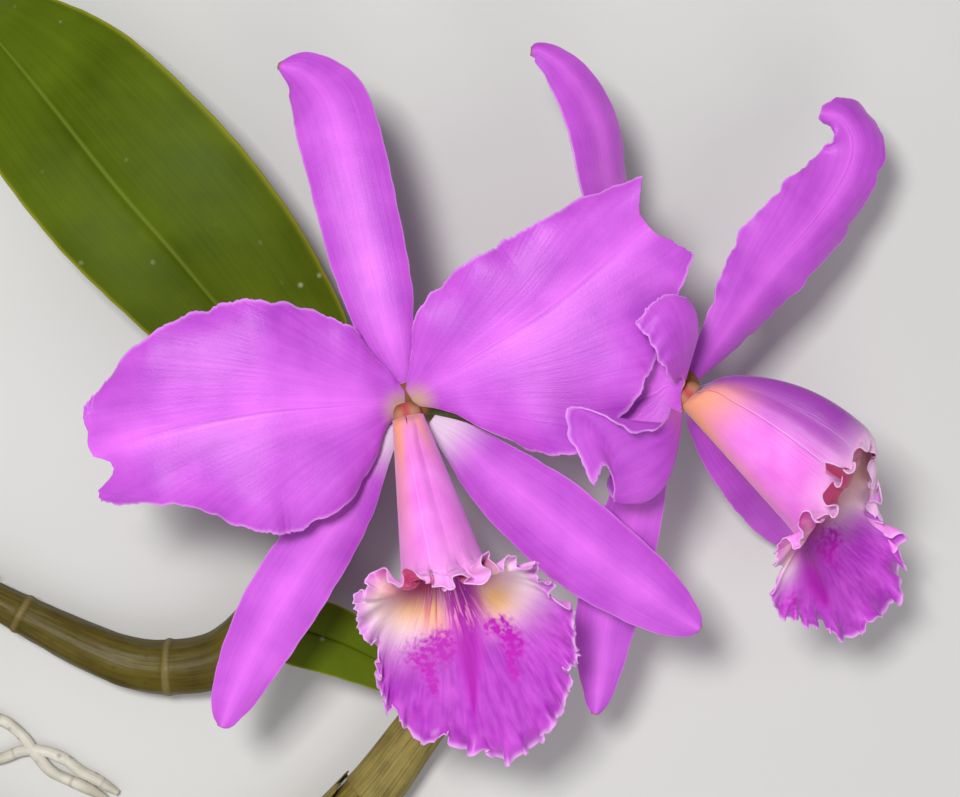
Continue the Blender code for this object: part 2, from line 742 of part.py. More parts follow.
def make_growths(group, cutters, finishes):
    """The two pseudobulbs and the rhizome with its roots."""
    block = surface_block(cutters)
    grown = [(x, y, z, radius + GAP) for x, y, z, radius in RHIZOME]
    socket = tube("rhizome_socket", grown, 12, 3, finishes["root"], cutters)
    as_helper(socket)
    for name, stations, finish in (
        ("pseudobulb_1", PSEUDOBULB_1, finishes["green bulb"]),
        ("pseudobulb_2", PSEUDOBULB_2, finishes["brown bulb"]),
    ):
        bulb = tube(name, stations, 15, 4, finish, group)
        cut_away(bulb, block, "Flat spot")
        cut_away(bulb, socket, "Rhizome side")

    rhizome = tube("rhizome", RHIZOME, 12, 3, finishes["root"], group)
    wander = random.Random(7)
    roots = []
    for number, (start, heading, length) in enumerate(ROOTS):
        stations = root_stations(start, heading, length, wander)
        roots.append(tube("root_%d" % number, stations, len(stations) - 1, 1, finishes["root"], group))
    join_all(rhizome, roots)


def make_finishes():
    """The plain materials of the plant's parts."""
    return {
        "petal": material("lilac petal", (0.60, 0.13, 0.62), 0.5),
        "lip": material("crimson lip", (0.62, 0.10, 0.50), 0.45),
        "column": material("column", (0.72, 0.55, 0.62), 0.4),
        "cap": material("anther cap", (0.85, 0.80, 0.70), 0.4),
        "stem": material("green stem", (0.16, 0.26, 0.05), 0.5),
        "sheath": material("dry sheath", (0.38, 0.34, 0.16), 0.6),
        "leaf": material("leaf", (0.14, 0.22, 0.02), 0.35),
        "green bulb": material("green pseudobulb", (0.34, 0.32, 0.04), 0.5),
        "brown bulb": material("old pseudobulb", (0.32, 0.22, 0.08), 0.7),
        "root": material("root", (0.50, 0.47, 0.40), 0.8),
    }


def main():
    for old in list(bpy.data.objects):
        bpy.data.objects.remove(old)
    plant = bpy.data.collections.new("cattleya orchid")
    cutters = bpy.data.collections.new("cutters")
    bpy.context.scene.collection.children.link(plant)
    bpy.context.scene.collection.children.link(cutters)
    finishes = make_finishes()
    make_blooms(plant, finishes)
    make_stalk(plant, finishes)
    make_leaves(plant, finishes)
    make_growths(plant, cutters, finishes)


main()
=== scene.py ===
"""The looks of a bare flowering cattleya orchid that lies on its back.

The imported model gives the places. Every soft part is drawn again here from the same
tables of stations, with finer edges, frills and surfaces. Lengths in the tables are
millimetres in the tables' own frame, and placed() turns them into metres in the
model's frame.
"""

import math
import random
from functools import partial

import bpy
import numpy as np
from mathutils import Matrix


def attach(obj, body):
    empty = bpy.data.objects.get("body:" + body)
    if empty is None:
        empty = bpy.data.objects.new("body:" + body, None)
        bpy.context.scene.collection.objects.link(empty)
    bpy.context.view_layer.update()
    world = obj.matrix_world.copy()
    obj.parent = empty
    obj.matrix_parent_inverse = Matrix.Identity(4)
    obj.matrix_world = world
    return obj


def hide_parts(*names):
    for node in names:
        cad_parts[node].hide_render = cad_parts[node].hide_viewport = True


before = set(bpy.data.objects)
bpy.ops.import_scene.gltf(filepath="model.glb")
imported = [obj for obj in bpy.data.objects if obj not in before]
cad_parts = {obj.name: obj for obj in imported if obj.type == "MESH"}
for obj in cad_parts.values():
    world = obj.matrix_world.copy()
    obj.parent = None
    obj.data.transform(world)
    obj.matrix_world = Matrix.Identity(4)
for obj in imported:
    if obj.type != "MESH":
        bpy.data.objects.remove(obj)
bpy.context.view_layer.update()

bl_info = {
    "name": "Cattleya Orchid",
    "version": (1, 0, 0),
    "blender": (4, 5, 0),
    "location": "View3D > Sidebar > Orchid",
    "description": "Dresses a flowering orchid division that lies on a table",
    "category": "Add Mesh",
}

MM = 0.001
BODY = "root"
FOOTPRINT_MIDDLE = np.array((-51.6, -17.5, 0.0))

# Thickness at the middle of a blade and at its margin
PETAL_WALL = (0.85, 0.38)
SEPAL_WALL = (1.0, 0.5)
LIP_WALL = (0.85, 0.4)
LEAF_WALL = (1.7, 0.9)
HUSK_WALL = (0.5, 0.25)
SHEATH_WALL = (0.7, 0.4)
LEAST_HEIGHT = 0.15 * MM

# Each blade station is x, y, z, half width to the left, half width to the right,
# and for a blade that turns about its midrib the turn there, in degrees.
DORSAL_SEPAL_1 = (
    (-20.5, 3.6, 60, 2.4, 2.4), (-24.6, 15.5, 61, 7.5, 6.2), (-28.1, 27.6, 61, 9.8, 9.8),
    (-31.8, 41.6, 60, 11.2, 11.2), (-36.5, 61.4, 58, 11.8, 11.8), (-39.5, 73, 56, 12, 12),
    (-43.3, 84.6, 53, 11.6, 11.3), (-50.5, 92.8, 48.5, 7.6, 7.4), (-57.8, 95.6, 45, 1, 1),
)
LEFT_PETAL_1 = (
    (-20.9, -0.9, 61.7, 2.6, 2.8), (-27, -1, 63, 8, 11), (-32, -1.5, 64.5, 18, 20),
    (-40.5, -2.3, 66.5, 28.5, 26), (-53, -3.2, 69, 33.8, 30.2), (-62, -4.3, 70, 34, 32),
    (-75, -6.6, 70.5, 28.2, 30.4), (-87.5, -9.6, 70, 20.7, 26.1), (-96, -12.2, 69, 17.2, 19.3),
    (-101.8, -14.2, 67.5, 12.5, 13.5),
)
RIGHT_PETAL_1 = (
    (-19.3, 0.2, 61.7, 2.8, 2.6), (-14, 3.4, 63, 10, 8), (-8.5, 7, 64.5, 18, 19),
    (-0.9, 11.8, 66.5, 22, 32), (8.4, 17.6, 68, 23.5, 38.5), (18.6, 24, 69, 23, 36),
    (28.6, 32, 69, 21.5, 30), (38.3, 40.3, 68.5, 18, 21), (46.4, 47, 67, 12, 13.5),
)
LEFT_SEPAL_1 = (
    (-24.1, -7.4, 59.8, 2.2, 2.2), (-29.8, -17.4, 59, 4.5, 5), (-37.6, -30.2, 58, 8, 8.5),
    (-47.6, -44.5, 56.5, 10.3, 10.5), (-57, -58.8, 54.5, 10.7, 10.5), (-64.8, -73.2, 52, 9, 9),
    (-70.4, -84.9, 49.5, 6.5, 6.5), (-73, -91.8, 48, 3.4, 3.4), (-74, -93.8, 47.5, 1.2, 1.2),
)
RIGHT_SEPAL_1 = (
    (-13.9, -6.4, 59.8, 2.2, 2.2), (-5.6, -12.3, 59, 6, 6), (5.6, -22.5, 58.5, 10, 10),
    (18.4, -33, 58, 12.5, 12.3), (31.2, -43.6, 57, 12.5, 12.5), (44.2, -53.2, 55, 11, 10.5),
    (54.3, -60.5, 53, 8, 7.5), (60.4, -64.3, 51.5, 4, 4), (62.4, -65.6, 51, 1.2, 1.2),
)
DORSAL_SEPAL_2 = (
    (54.2, 7.4, 55.6, 2.4, 2.4, 20), (50, 24, 52.5, 6.5, 6.5, 38), (43, 43, 51, 9.5, 9.5, 45),
    (36.3, 60, 50, 10.5, 10.5, 46), (34, 74.5, 49.5, 10.5, 10.5, 42), (29.8, 85.5, 49, 9, 9, 36),
    (23.5, 94, 49, 6.5, 6.5, 25), (17.5, 98.5, 49.5, 3.5, 3.5, 15), (14.5, 99, 50, 1.2, 1.2, 10),
)
FAR_PETAL_2 = (
    (60.2, 6, 52.4, 2.4, 2.4, 10), (71.6, 21.3, 50, 8, 8.5, 10), (84.5, 38, 46, 13.5, 12, 5),
    (97.6, 53, 42, 13.5, 12, 0), (106, 65.6, 39, 10, 11.5, 0), (108, 74.5, 38, 7, 12, 0),
    (104.5, 80.5, 39, 4, 9, 0), (98.5, 82.5, 40.5, 1.6, 3, 0),
)
NEAR_SEPAL_2 = (
    (53.6, -2, 54.2, 2.2, 2.2), (47.4, -20.3, 50, 6.5, 6.5), (41.8, -40.5, 46, 9.2, 9),
    (36.8, -61, 42, 9.2, 9), (35, -75.8, 39, 7.2, 7), (34.1, -87.8, 36, 3.7, 3.5),
    (33.5, -92, 35, 1.2, 1.2),
)
FAR_SEPAL_2 = (
    (58.6, 2.2, 50.2, 2.2, 2.2), (63.5, -4, 43.5, 5, 5), (72, -14, 34.5, 8.5, 8.5),
    (82, -25, 24.5, 10, 10), (91, -36, 13.5, 8.5, 8.5), (97, -44, 4.8, 4.5, 4.5),
    (99, -47, 0.75, 1.2, 1.2),
)
LEAF_1 = (
    (-43.6, -6.4, 12.8, 3, 4), (-49.5, -1, 15, 8, 13), (-57, 5.5, 18.5, 13, 24.5),
    (-74, 23, 24, 19, 32.5), (-91.5, 44, 28, 23, 35.5), (-108, 63, 28, 24.5, 35.5),
    (-127.5, 87, 22.5, 24, 31), (-144, 106, 12, 19, 21), (-152, 114, 5, 11, 12),
    (-156.5, 118.5, 0.95, 1.5, 1.5),
)
LEAF_2 = (
    (-15, -88.5, 17, 3.5, 3.5), (-25.5, -80.8, 21, 7.5, 7), (-40, -73, 24.5, 10, 9.5),
    (-54, -67.5, 27, 11, 10), (-63, -64.5, 28, 7, 7), (-68.5, -63, 28.5, 1.2, 1.2),
)
SHEATH = (
    (-33.5, -2.3, 25.9, 3.5, 3.5), (-26, -0.2, 26.6, 8.5, 8.5), (-16, -1, 27.8, 8.5, 8.5),
    (-7, -3.2, 29.4, 5.5, 5.5), (0, -5.4, 30.8, 1, 1),
)

# The near petal of the second bloom, as a cage of points. Rows run from its base to
# its far margin, and points run from its upper margin round its back to the lower one.
NEAR_PETAL_2 = (
    (
        (53.4, 4.6, 66), (55.6, 6.4, 63.6), (57.4, 4.4, 61), (56, 1, 59), (56.8, -4, 60),
        (54.4, -3.4, 62.6), (52.8, -2.6, 65),
    ),
    (
        (51.6, 6.6, 70), (55.5, 12, 70), (61.2, 14.5, 63.2), (50.8, 5, 60.2), (57, -12.5, 60.6),
        (53.2, -7, 69), (50.6, -6.8, 74.5),
    ),
    (
        (49, 10.5, 74), (53.8, 16.5, 74.5), (63.2, 19, 65.6), (46.5, 3, 59), (55, -30, 61.4),
        (44.9, -3.7, 75.5), (43.4, -10.7, 80),
    ),
    (
        (46.8, 14.2, 75.5), (52, 21, 76.5), (63.6, 23.2, 67.4), (41, 1, 58.8), (50, -36.5, 61.6),
        (33, -7, 77.5), (25.2, 0, 81),
    ),
    (
        (44.8, 17.6, 76.2), (49.6, 24.6, 77), (63.4, 26.4, 68.4), (36.5, -2, 58.8), (43, -36, 62.6),
        (34.2, -11.5, 77.5), (22.5, -8, 80),
    ),
    (
        (42.8, 20.8, 76.2), (47, 27.4, 76.8), (61.8, 28.6, 68.6), (33, -6, 59.5), (38, -33.5, 64.4),
        (35.4, -15.8, 76.5), (31, -23.5, 79.5),
    ),
)
CAGE_EASE = 0.7

# Tubes: x, y, z and radius at each station
PSEUDOBULB_1 = (
    (-41, -11, 14.5, 5.5), (-45, -24, 12.5, 7.4), (-54, -48, 10.5, 8.6), (-66, -68, 9.3, 9),
    (-80, -79.5, 8.6, 8.9), (-100, -81.5, 8, 8.2), (-118, -76, 8, 7.3), (-145, -62.5, 8.5, 5.6),
    (-160, -54, 9.5, 4.6), (-175, -48, 9.5, 4.6),
)
PSEUDOBULB_2 = (
    (-13.5, -93, 12, 4.8), (-20.5, -103, 10.5, 6.6), (-36, -123, 9, 8), (-58, -141, 8.3, 8.5),
    (-88, -150, 8.1, 8.3), (-120, -148, 8, 7), (-148, -137, 8.8, 5.5), (-170, -122, 8.6, 4.8),
)
RHIZOME = (
    (-172, -24, 9, 3.2), (-175.5, -36, 8.6, 5.6), (-178, -60, 7.8, 6.2), (-176, -85, 7.4, 6),
    (-172, -110, 7.4, 6.2), (-169, -132, 7.6, 5.8), (-167, -143, 7.6, 3.6),
)
PEDUNCLE = (
    (-38.6, -9, 17.6, 2.6), (-34.5, -3, 20, 2.6), (-25, 0, 22.2, 2.6), (-8, -3, 24, 2.6),
    (4, -6.8, 25.5, 2.7), (14, -8, 27.5, 3.2),
)
PEDICEL_1 = (
    (13, -8, 27, 2.6), (8, -6, 36, 2.6), (-4, -3, 46, 2.9), (-14.5, -1.5, 51.6, 3.1),
    (-19, -1.1, 55.6, 3.4), (-20, -1, 58.2, 4.3),
)
PEDICEL_2 = (
    (12, -8.2, 27, 2.6), (23, -6, 33, 2.6), (37, -1.5, 42.5, 2.9), (48, 1.6, 49.6, 3.1),
    (52.9, 2.9, 52.4, 3.6), (54.1, 3.1, 53.2, 4.6),
)

# Roots leave the rhizome: start, first heading in degrees from +X, and length
ROOTS = (
    ((-176.0, -64.0), -160.0, 62.0),
    ((-174.0, -88.0), 8.0, 74.0),
    ((-173.0, -104.0), -150.0, 52.0),
    ((-171.0, -118.0), 28.0, 66.0),
    ((-171.0, -124.0), -128.0, 50.0),
    ((-177.0, -46.0), 128.0, 46.0),
)
ROOT_RADIUS = 1.8
ROOT_STEP = 6.5
ROOT_WANDER = 24.0
ROOT_START_HEIGHT = 6.0
ROOT_REST_HEIGHT = 1.9

# A lip is a trumpet rolled from one sheet: its base, the heading of its lower
# edge, its upper side, and how far its bottom, sides and top run and flare out.
# margin holds an angle round the lip and the place that its margin has there, and a
# notch its angle, depth and width. streak holds how far on, the middle and the half
# width. A patch of colour holds its middle across and onward, its two reaches and its
# weight. peach holds its angle and how pink its middle is, and the entry after it the
# angle and width of a side of the outer tube that is darkened as painted shade.
LIP_1 = {
    "base": (-20.0, -5.4, 64.4),
    "axis": (0.23, -0.965, 0.10),
    "top": (0.0, 0.1, 0.99),
    "tube": (47.0, 46.0, 46.0),
    "length": (104.0, 64.0, 53.0),
    "flare": (42.0, 76.0, 40.0),
    "width": 11.5,
    "rise": 34.0,
    "swell": (1.0, 1.0),
    "seam": -6.0,
    "twist": 4.0,
    "bulge": 0.0,
    "margin": (
        (-185, -10.4, -48.4, 101), (-165, -13.9, -49.3, 100), (-150, -17.8, -48.3, 99),
        (-137, -21.8, -47.4, 97), (-124, -25.4, -46.1, 94), (-112, -29.8, -49.1, 90),
        (-100, -33.3, -53.4, 84), (-88, -33.9, -57.6, 79), (-75, -32.8, -62.5, 74),
        (-60, -30.9, -69.5, 68), (-45, -28, -79.8, 61), (-30, -25.9, -89.9, 57), (-15, -15.6, -98, 54),
        (-3, -4.3, -100, 52), (7, 7.1, -103.7, 52), (16, 15.6, -99.6, 53), (28, 22.6, -90.2, 55),
        (42, 26.9, -77.5, 59), (56, 27.2, -65.9, 65), (70, 23.9, -55.9, 71), (82, 17.7, -51, 77),
        (96, 15.6, -46.2, 83), (108, 12.5, -43.4, 88), (122, 7.7, -43.8, 93), (136, 2.9, -40.3, 97),
        (150, 0.3, -45.3, 100), (165, -4.2, -47.9, 101), (180, -9.6, -47.3, 102),
        (195, -12.7, -48.5, 103),
    ),
    "notches": (
        (-56, 7, 4), (-29, 4.5, 2.2), (-10, 5, 2.4), (2, 2.5, 1.6), (21, 2, 1.4), (41, 5, 1.8),
        (72, 7, 2.6), (-171, 5, 3.5), (128, 2, 2.5),
    ),
    "streak": (
        (0, 3.2, 4.5), (10, 2.1, 5.4), (21.6, 0.5, 3.9), (29, -0.6, 1.9), (36.4, -2.1, 0.7), (40, -2.8, 0.2),
    ),
    "feather": (
        (9.6, 14, 4, 2.8, 0.85), (13.4, 20, 3.4, 4.6, 1), (11.4, 27, 1.5, 4, 0.85),
        (-12.1, 17.8, 4.8, 5.2, 0.8), (-5.4, 16.2, 3.4, 4.4, 1), (-11.2, 26, 1.6, 4.5, 0.75),
    ),
    "gold": ((12.0, 7.0, 5.5, 5.5, 1.0), (-11.3, 4.0, 6.5, 6.0, 0.85), (-5.0, 8.0, 3.5, 6.0, 0.7)),
    "milky": ((15.0, 6.0, 9.0, 8.5, 1.0), (-15.0, 6.0, 9.5, 9.0, 1.0)),
    "combed": ((-3.0, 5.0, 6.5, 6.0, 1.0), (3.0, 7.0, 5.0, 5.0, 1.0)),
    "peach": (180.0, 0.75),
    # A darker lower side of the outer tube, as painted shade.
    "dusky": (0.0, 44.0),
    "pallor": 0.45,
}
LIP_2 = {
    "base": (59.8, 0.6, 56.4),
    "axis": (0.675, -0.738, 0.05),
    "top": (0.61, 0.59, 0.53),
    "tube": (50.0, 46.0, 42.0),
    "length": (87.0, 64.0, 47.0),
    "flare": (42.0, 78.0, 24.0),
    "width": 12.0,
    "rise": 36.0,
    "swell": (0.9, 0.5),
    "seam": -55.0,
    "twist": 26.0,
    "bulge": 3.6,
    "margin": (
        (-137, 95.7, -19.8, 84), (-126, 94.5, -20.3, 85), (-114, 94.4, -23.9, 87),
        (-102, 94.3, -28.3, 86), (-90, 89.6, -31.7, 82), (-78, 86.9, -37.3, 78), (-68, 82.7, -40.4, 73),
        (-58, 80.4, -45.2, 68), (-49, 82.9, -50.2, 64), (-40, 80.1, -55.6, 60), (-30, 86.1, -62.5, 55),
        (-18, 94.5, -65.3, 50), (-8, 101.8, -67.4, 47), (0, 103.7, -70.1, 46), (9, 110.6, -67.2, 43),
        (18, 115.5, -64, 41), (30, 120.6, -58.4, 39), (44, 122.6, -50.6, 39), (58, 121.6, -44.1, 41),
        (72, 116.8, -39.5, 45), (86, 112.3, -35.8, 49), (98, 111, -32.2, 53), (110, 111.2, -28.5, 58),
        (125, 108.2, -23.8, 64), (142, 109.3, -18.9, 70), (160, 106.8, -14.9, 76),
        (180, 105.2, -12.5, 82), (198, 102.6, -14.3, 86), (214, 99.4, -18, 89), (228, 95.6, -20, 91),
        (240, 91.3, -17.9, 91), (247, 89.9, -16.4, 90),
    ),
    "notches": (
        (-49, 6, 3), (-24, 2.5, 2), (-13, 2.5, 2.5), (13, 3, 2.5), (81, 3.5, 2.5), (112, 4, 3),
        (-104, 2, 3), (150, 2.5, 3),
    ),
    "streak": ((0.0, -5.4, 5.4), (10.0, -5.6, 4.8), (14.0, -5.5, 3.4), (18.0, -5.5, 1.5), (22.0, -5.5, 0.4)),
    "feather": ((5.0, 6.6, 5.6, 4.2, 1.0), (3.4, 11.5, 1.6, 3.4, 0.85), (-14.0, 12.0, 3.0, 3.0, 0.6)),
    "gold": ((19.0, -3.5, 5.0, 5.0, 0.45),),
    "milky": ((16.0, -1.0, 9.0, 6.5, 1.0), (-13.5, 1.5, 5.0, 4.5, 0.9)),
    "combed": ((-6.0, 3.0, 3.0, 3.5, 0.5),),
    "peach": (-84.0, 0.0),
    # The far lobe's darker side, as painted shade.
    "dusky": (182.0, 58.0),
    "pallor": 0.9,
}
LIP_THROAT = 4.0
LIP_TURN_LENGTH = 14.0
LIP_FAN_DROP = 0.38
LIP_JOIN = 0.985
LIP_OVERLAP = 1.04

# Flesh inside the blooms: how far along its axis, how far up, and radius
HEART = ((0.0, 0.0, 3.6), (0.35, 0.0, 6.2), (0.8, 0.0, 5.4), (1.0, 0.0, 2.2))
NECK = ((-4.4, -0.4, 2.2), (-2.4, -0.4, 3.7), (0.4, -0.4, 3.9), (4.0, -0.4, 3.2))
COLUMN = ((1.0, 0.0, 2.2), (10.8, 1.2, 2.4), (20.6, 3.6, 2.9), (29.0, 6.2, 3.3))
ANTHER_CAP = ((0.3, 0.0, 2.3), (2.2, 0.0, 2.9), (4.4, 0.0, 2.2), (5.4, 0.0, 0.9))

CANE_SIZES = (
    "Step", "Sides", "Joint spacing", "Joint swelling", "Joint width", "Grooves", "Groove depth",
    "Skin height", "Skin size",
)
SOFT_FLESH = {
    "Subsurface_Weight": 0.12,
    "Subsurface_Radius": (0.9, 0.35, 0.8),
    "Subsurface_Scale": 0.0012,
}

# The camera and the lights, in metres, and the width that the frame covers there
CAMERA_HEIGHT = 0.66
CAMERA_DISTANCE = 0.6
FRAME_WIDTH = 0.2688
LIGHT_TARGET = (0.03, 0.02, 0.06)


def hex_colour(text):
    """A linear RGBA colour from sRGB hex digits."""
    values = [int(text[start:start + 2], 16) / 255.0 for start in (0, 2, 4)]
    linear = [value / 12.92 if value <= 0.04045 else ((value + 0.055) / 1.055) ** 2.4 for value in values]
    return (*linear, 1.0)


def smooth_step(low, high, value):
    """0 below low, 1 above high and a smooth rise between them."""
    t = np.clip((value - low) / (high - low), 0.0, 1.0)
    return t * t * (3.0 - 2.0 * t)


def unit(vectors):
    """The vectors at length 1."""
    return vectors / np.maximum(np.linalg.norm(vectors, axis=-1, keepdims=True), 1.0e-9)


def placed(points):
    """Points of the tables as places in the model, in metres and above the surface."""
    moved = (np.asarray(points, float) - FOOTPRINT_MIDDLE) * MM
    moved[..., 2] = np.maximum(moved[..., 2], LEAST_HEIGHT)
    return moved


def along(table, places, ease=0.0):
    """All values of a table of stations at places from 0 to 1 along it.

    The curve runs through the stations where ease is 0, and eases past them where it is 1.
    """
    table = np.asarray(table, float)
    padded = np.concatenate((2.0 * table[:1] - table[1:2], table, 2.0 * table[-1:] - table[-2:-1]))
    last = len(table) - 1
    span = np.minimum((places * last).astype(int), last - 1)
    t = (places * last - span).reshape((-1,) + (1,) * (table.ndim - 1))
    before, start, end, after = (padded[span + step] for step in range(4))
    square = (2.0 * before - 5.0 * start + 4.0 * end - after) * t ** 2
    cube = (3.0 * start - before - 3.0 * end + after) * t ** 3
    through = 0.5 * (2.0 * start + (end - before) * t + square + cube)
    second = start * (3.0 * t ** 3 - 6.0 * t ** 2 + 4.0)
    third = end * (-3.0 * t ** 3 + 3.0 * t ** 2 + 3.0 * t + 1.0)
    past = (before * (1.0 - t) ** 3 + second + third + after * t ** 3) / 6.0
    return (1.0 - ease) * through + ease * past


def frames_along(table, places, turn=0.0):
    """Tangents, sides and normals of a path at places along it."""
    step = 0.002
    ahead = along(table, np.minimum(places + step, 1.0))[:, :3]
    behind = along(table, np.maximum(places - step, 0.0))[:, :3]
    tangent = unit(ahead - behind)
    side = unit(np.cross(tangent, (0.0, 0.0, 1.0)))
    angle = np.radians(np.broadcast_to(turn, len(places)))[:, None]
    side = side * np.cos(angle) + np.cross(tangent, side) * np.sin(angle)
    return tangent, side, np.cross(side, tangent)


def edge_waves(run, seed, lobes=1.0, teeth=1.0):
    """An uneven margin: rounded lobes 7 to 17 mm long with teeth under 2 mm on them."""
    chance = random.Random(seed)
    slow = 0.35 * np.sin(run / 7.7 + 6.0 * chance.random()) + 0.2 * np.sin(run / 3.9)
    total = np.zeros_like(run)
    for length, height in ((17.0, 0.9), (9.5, 0.75), (6.6, 0.5)):
        turn = math.pi * (run / length + chance.random() + 0.3 * slow)
        total = total + lobes * height * (np.abs(np.sin(turn)) - 0.6)
    for length, height in ((2.3, 0.14), (1.6, 0.14), (1.15, 0.08)):
        turn = 2.0 * math.pi * (run / length + chance.random() + slow)
        total = total + teeth * (0.55 + 0.9 * slow) * height * np.sin(turn)
    return total


def run_length(points):
    """Distance along a line of points, from its first one."""
    return np.concatenate(((0.0,), np.cumsum(np.linalg.norm(np.diff(points, axis=0), axis=1))))


def blade_points(stations, grid, shape, waves, fork=0.0, edge=(0.0, 0.0), tip=None, seed=1):
    """The grid of points of a leaf, sepal or petal, with its places along and across.

    shape holds the lift, curl and margin roll in degrees for each half. waves holds
    the height, count and phase of the slow waves and the depth of the margin's
    teeth in the solid. edge scales the fine lobes and teeth. tip holds how far the
    end runs on at even steps across it.
    """
    place = 1.0 - (1.0 - np.linspace(0.0, 1.0, grid[0] + 1)) ** 1.25
    values = along(stations, place)
    turn = values[:, 5] if values.shape[1] > 5 else 0.0
    tangent, side, normal = (way[:, None] for way in frames_along(stations, place, turn))
    reach = np.linspace(-1.0, 1.0, grid[1] + 1)
    reach = np.sign(reach) * (1.0 - (1.0 - np.abs(reach)) ** 1.3)
    across, lengthwise = np.meshgrid(reach, place)
    margin = np.abs(across)
    hand = np.where(across > 0.0, 1.0, -1.0)
    bend = np.array([shape[1] if value > 0.0 else shape[0] for value in reach])
    parts = np.abs(reach)[:, None] * (np.arange(16) + 0.5) / 16
    angle = np.radians(bend[:, :1] + bend[:, 1:2] * parts + bend[:, 2:] * smooth_step(0.65, 1.0, parts))
    height, count, phase, teeth = waves
    half = np.maximum(np.where(across > 0.0, values[:, 4:5], values[:, 3:4]), 0.4)
    cut = teeth * np.sin(34.0 * math.pi * lengthwise + phase) * margin ** 6
    half = half + cut * smooth_step(0.1, 0.4, lengthwise)
    fine = np.zeros_like(half)
    for number, chosen in enumerate((-1.0, 1.0)):
        line = values[:, :3] + side[:, 0] * chosen * half[:, -number, None]
        lobed = edge_waves(run_length(line), seed * 7 + number, *edge)
        fine = fine + np.where(hand == chosen, lobed[:, None], 0.0)
    half = half + fine * margin ** 5 * smooth_step(0.06, 0.25, lengthwise)
    ripple = np.sin(2.0 * math.pi * count * lengthwise + phase + hand)
    ripple = height * smooth_step(0.05, 0.4, lengthwise) * margin ** 2.5 * ripple
    ripple = ripple + 0.55 * edge[0] * np.roll(fine, 5, axis=0) * margin ** 5
    onward = fork * margin ** 1.6
    if tip is not None:
        onward = onward + np.interp(reach, np.linspace(-1.0, 1.0, len(tip)), tip)
        onward = onward + edge_waves(reach * half[-1] + 40.0, seed * 7 + 3, *edge)
    onward = onward * smooth_step(0.8, 1.0, lengthwise)
    sideways = np.cos(angle).mean(axis=1) * margin * hand * half
    upward = np.sin(angle).mean(axis=1) * margin * half + ripple
    points = values[:, None, :3] + tangent * onward[..., None]
    points = points + side * sideways[..., None] + normal * upward[..., None]
    return points, lengthwise, across


def add_mesh(name, points, edges, faces, numbers):
    """A smooth object from places in the model, with numbers as attributes of its points."""
    mesh = bpy.data.meshes.new(name)
    mesh.from_pydata(np.asarray(points).tolist(), edges, faces)
    mesh.shade_smooth()
    for key, values in numbers.items():
        slot = mesh.attributes.new(key, "FLOAT", "POINT")
        slot.data.foreach_set("value", np.asarray(values, np.float32).ravel())
    made = bpy.data.objects.new(name, mesh)
    bpy.context.scene.collection.objects.link(made)
    return made


def thick_sheet(name, points, wall, coordinates, values):
    """A closed thin solid from a grid of points in the tables' millimetres.

    wall is the thickness at each grid point. coordinates are the two numbers that
    become the piece's UV map, and values are further numbers for its attributes.
    """
    normal = unit(np.cross(np.gradient(points, axis=1), np.gradient(points, axis=0)))
    half = 0.5 * wall[..., None] * normal
    both = np.concatenate([placed(points + half).reshape(-1, 3), placed(points - half).reshape(-1, 3)])
    under = wall.size
    number = np.arange(under).reshape(wall.shape)
    corners = (number[:-1, :-1], number[:-1, 1:], number[1:, 1:], number[1:, :-1])
    top = np.stack([corner.ravel() for corner in corners], axis=1)
    rim = np.concatenate((number[0, :], number[1:, -1], number[-1, -2::-1], number[-2:0:-1, 0]))
    following = np.roll(rim, -1)
    sides = np.stack((following, rim, rim + under, following + under), axis=1)
    faces = np.concatenate((top, top[:, ::-1] + under, sides)).tolist()
    numbers = {"upper": np.repeat((1.0, 0.0), under)}
    numbers.update((key, np.tile(value.ravel(), 2)) for key, value in values.items())
    made = add_mesh(name, both, [], faces, numbers)
    flat = np.tile(np.stack([place.ravel() for place in coordinates], axis=1), (2, 1))
    used = np.array([corner.vertex_index for corner in made.data.loops])
    layer = made.data.uv_layers.new(name="blade")
    layer.data.foreach_set("uv", flat[used].astype(np.float32).ravel())
    made.data.validate()
    return made


def finish_piece(made, material, slot, *nodes):
    """Give a piece its material, its body and the solids that it stands for."""
    made.data.materials.clear()
    made.data.materials.append(material)
    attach(made, BODY)
    if nodes:
        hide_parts(*nodes)


def add_node(tree, kind, *feeds, pick=0, **named):
    """Add a node, and return the output that pick gives, or the node if that is None.

    feeds are values or sockets for the inputs in order. A named value with a capital
    is for an input too, and any other one is a field of the node.
    """
    made = tree.nodes.new(kind if kind.startswith(("Geometry", "Node")) else "ShaderNode" + kind)
    for key, value in named.items():
        if key[0].islower():
            setattr(made, key, value)
    pairs = list(zip([socket for socket in made.inputs if socket.enabled], feeds))
    pairs += [(made.inputs[key.replace("_", " ")], named[key]) for key in named if key[0].isupper()]
    for socket, value in pairs:
        if isinstance(value, bpy.types.NodeSocket):
            tree.links.new(value, socket)
        else:
            socket.default_value = value
    if pick is None:
        return made
    return made.outputs[pick] if pick else [socket for socket in made.outputs if socket.enabled][0]


def new_material(name, roughness, **sockets):
    """A material whose constants stand on its shader's own sockets, and its way to add nodes."""
    made = bpy.data.materials.new(name)
    made.use_nodes = True
    inputs = made.node_tree.nodes["Principled BSDF"].inputs
    inputs["Roughness"].default_value = roughness
    for socket, value in sockets.items():
        inputs[socket.replace("_", " ")].default_value = value
    return made, partial(add_node, made.node_tree)


def finish_material(made, paint, **bump):
    """Link a colour to the material's shader, and a bump whose distance is in metres."""
    inputs = made.node_tree.nodes["Principled BSDF"].inputs
    made.node_tree.links.new(paint, inputs["Base Color"])
    if bump:
        made.node_tree.links.new(add_node(made.node_tree, "Bump", **bump), inputs["Normal"])
    return made


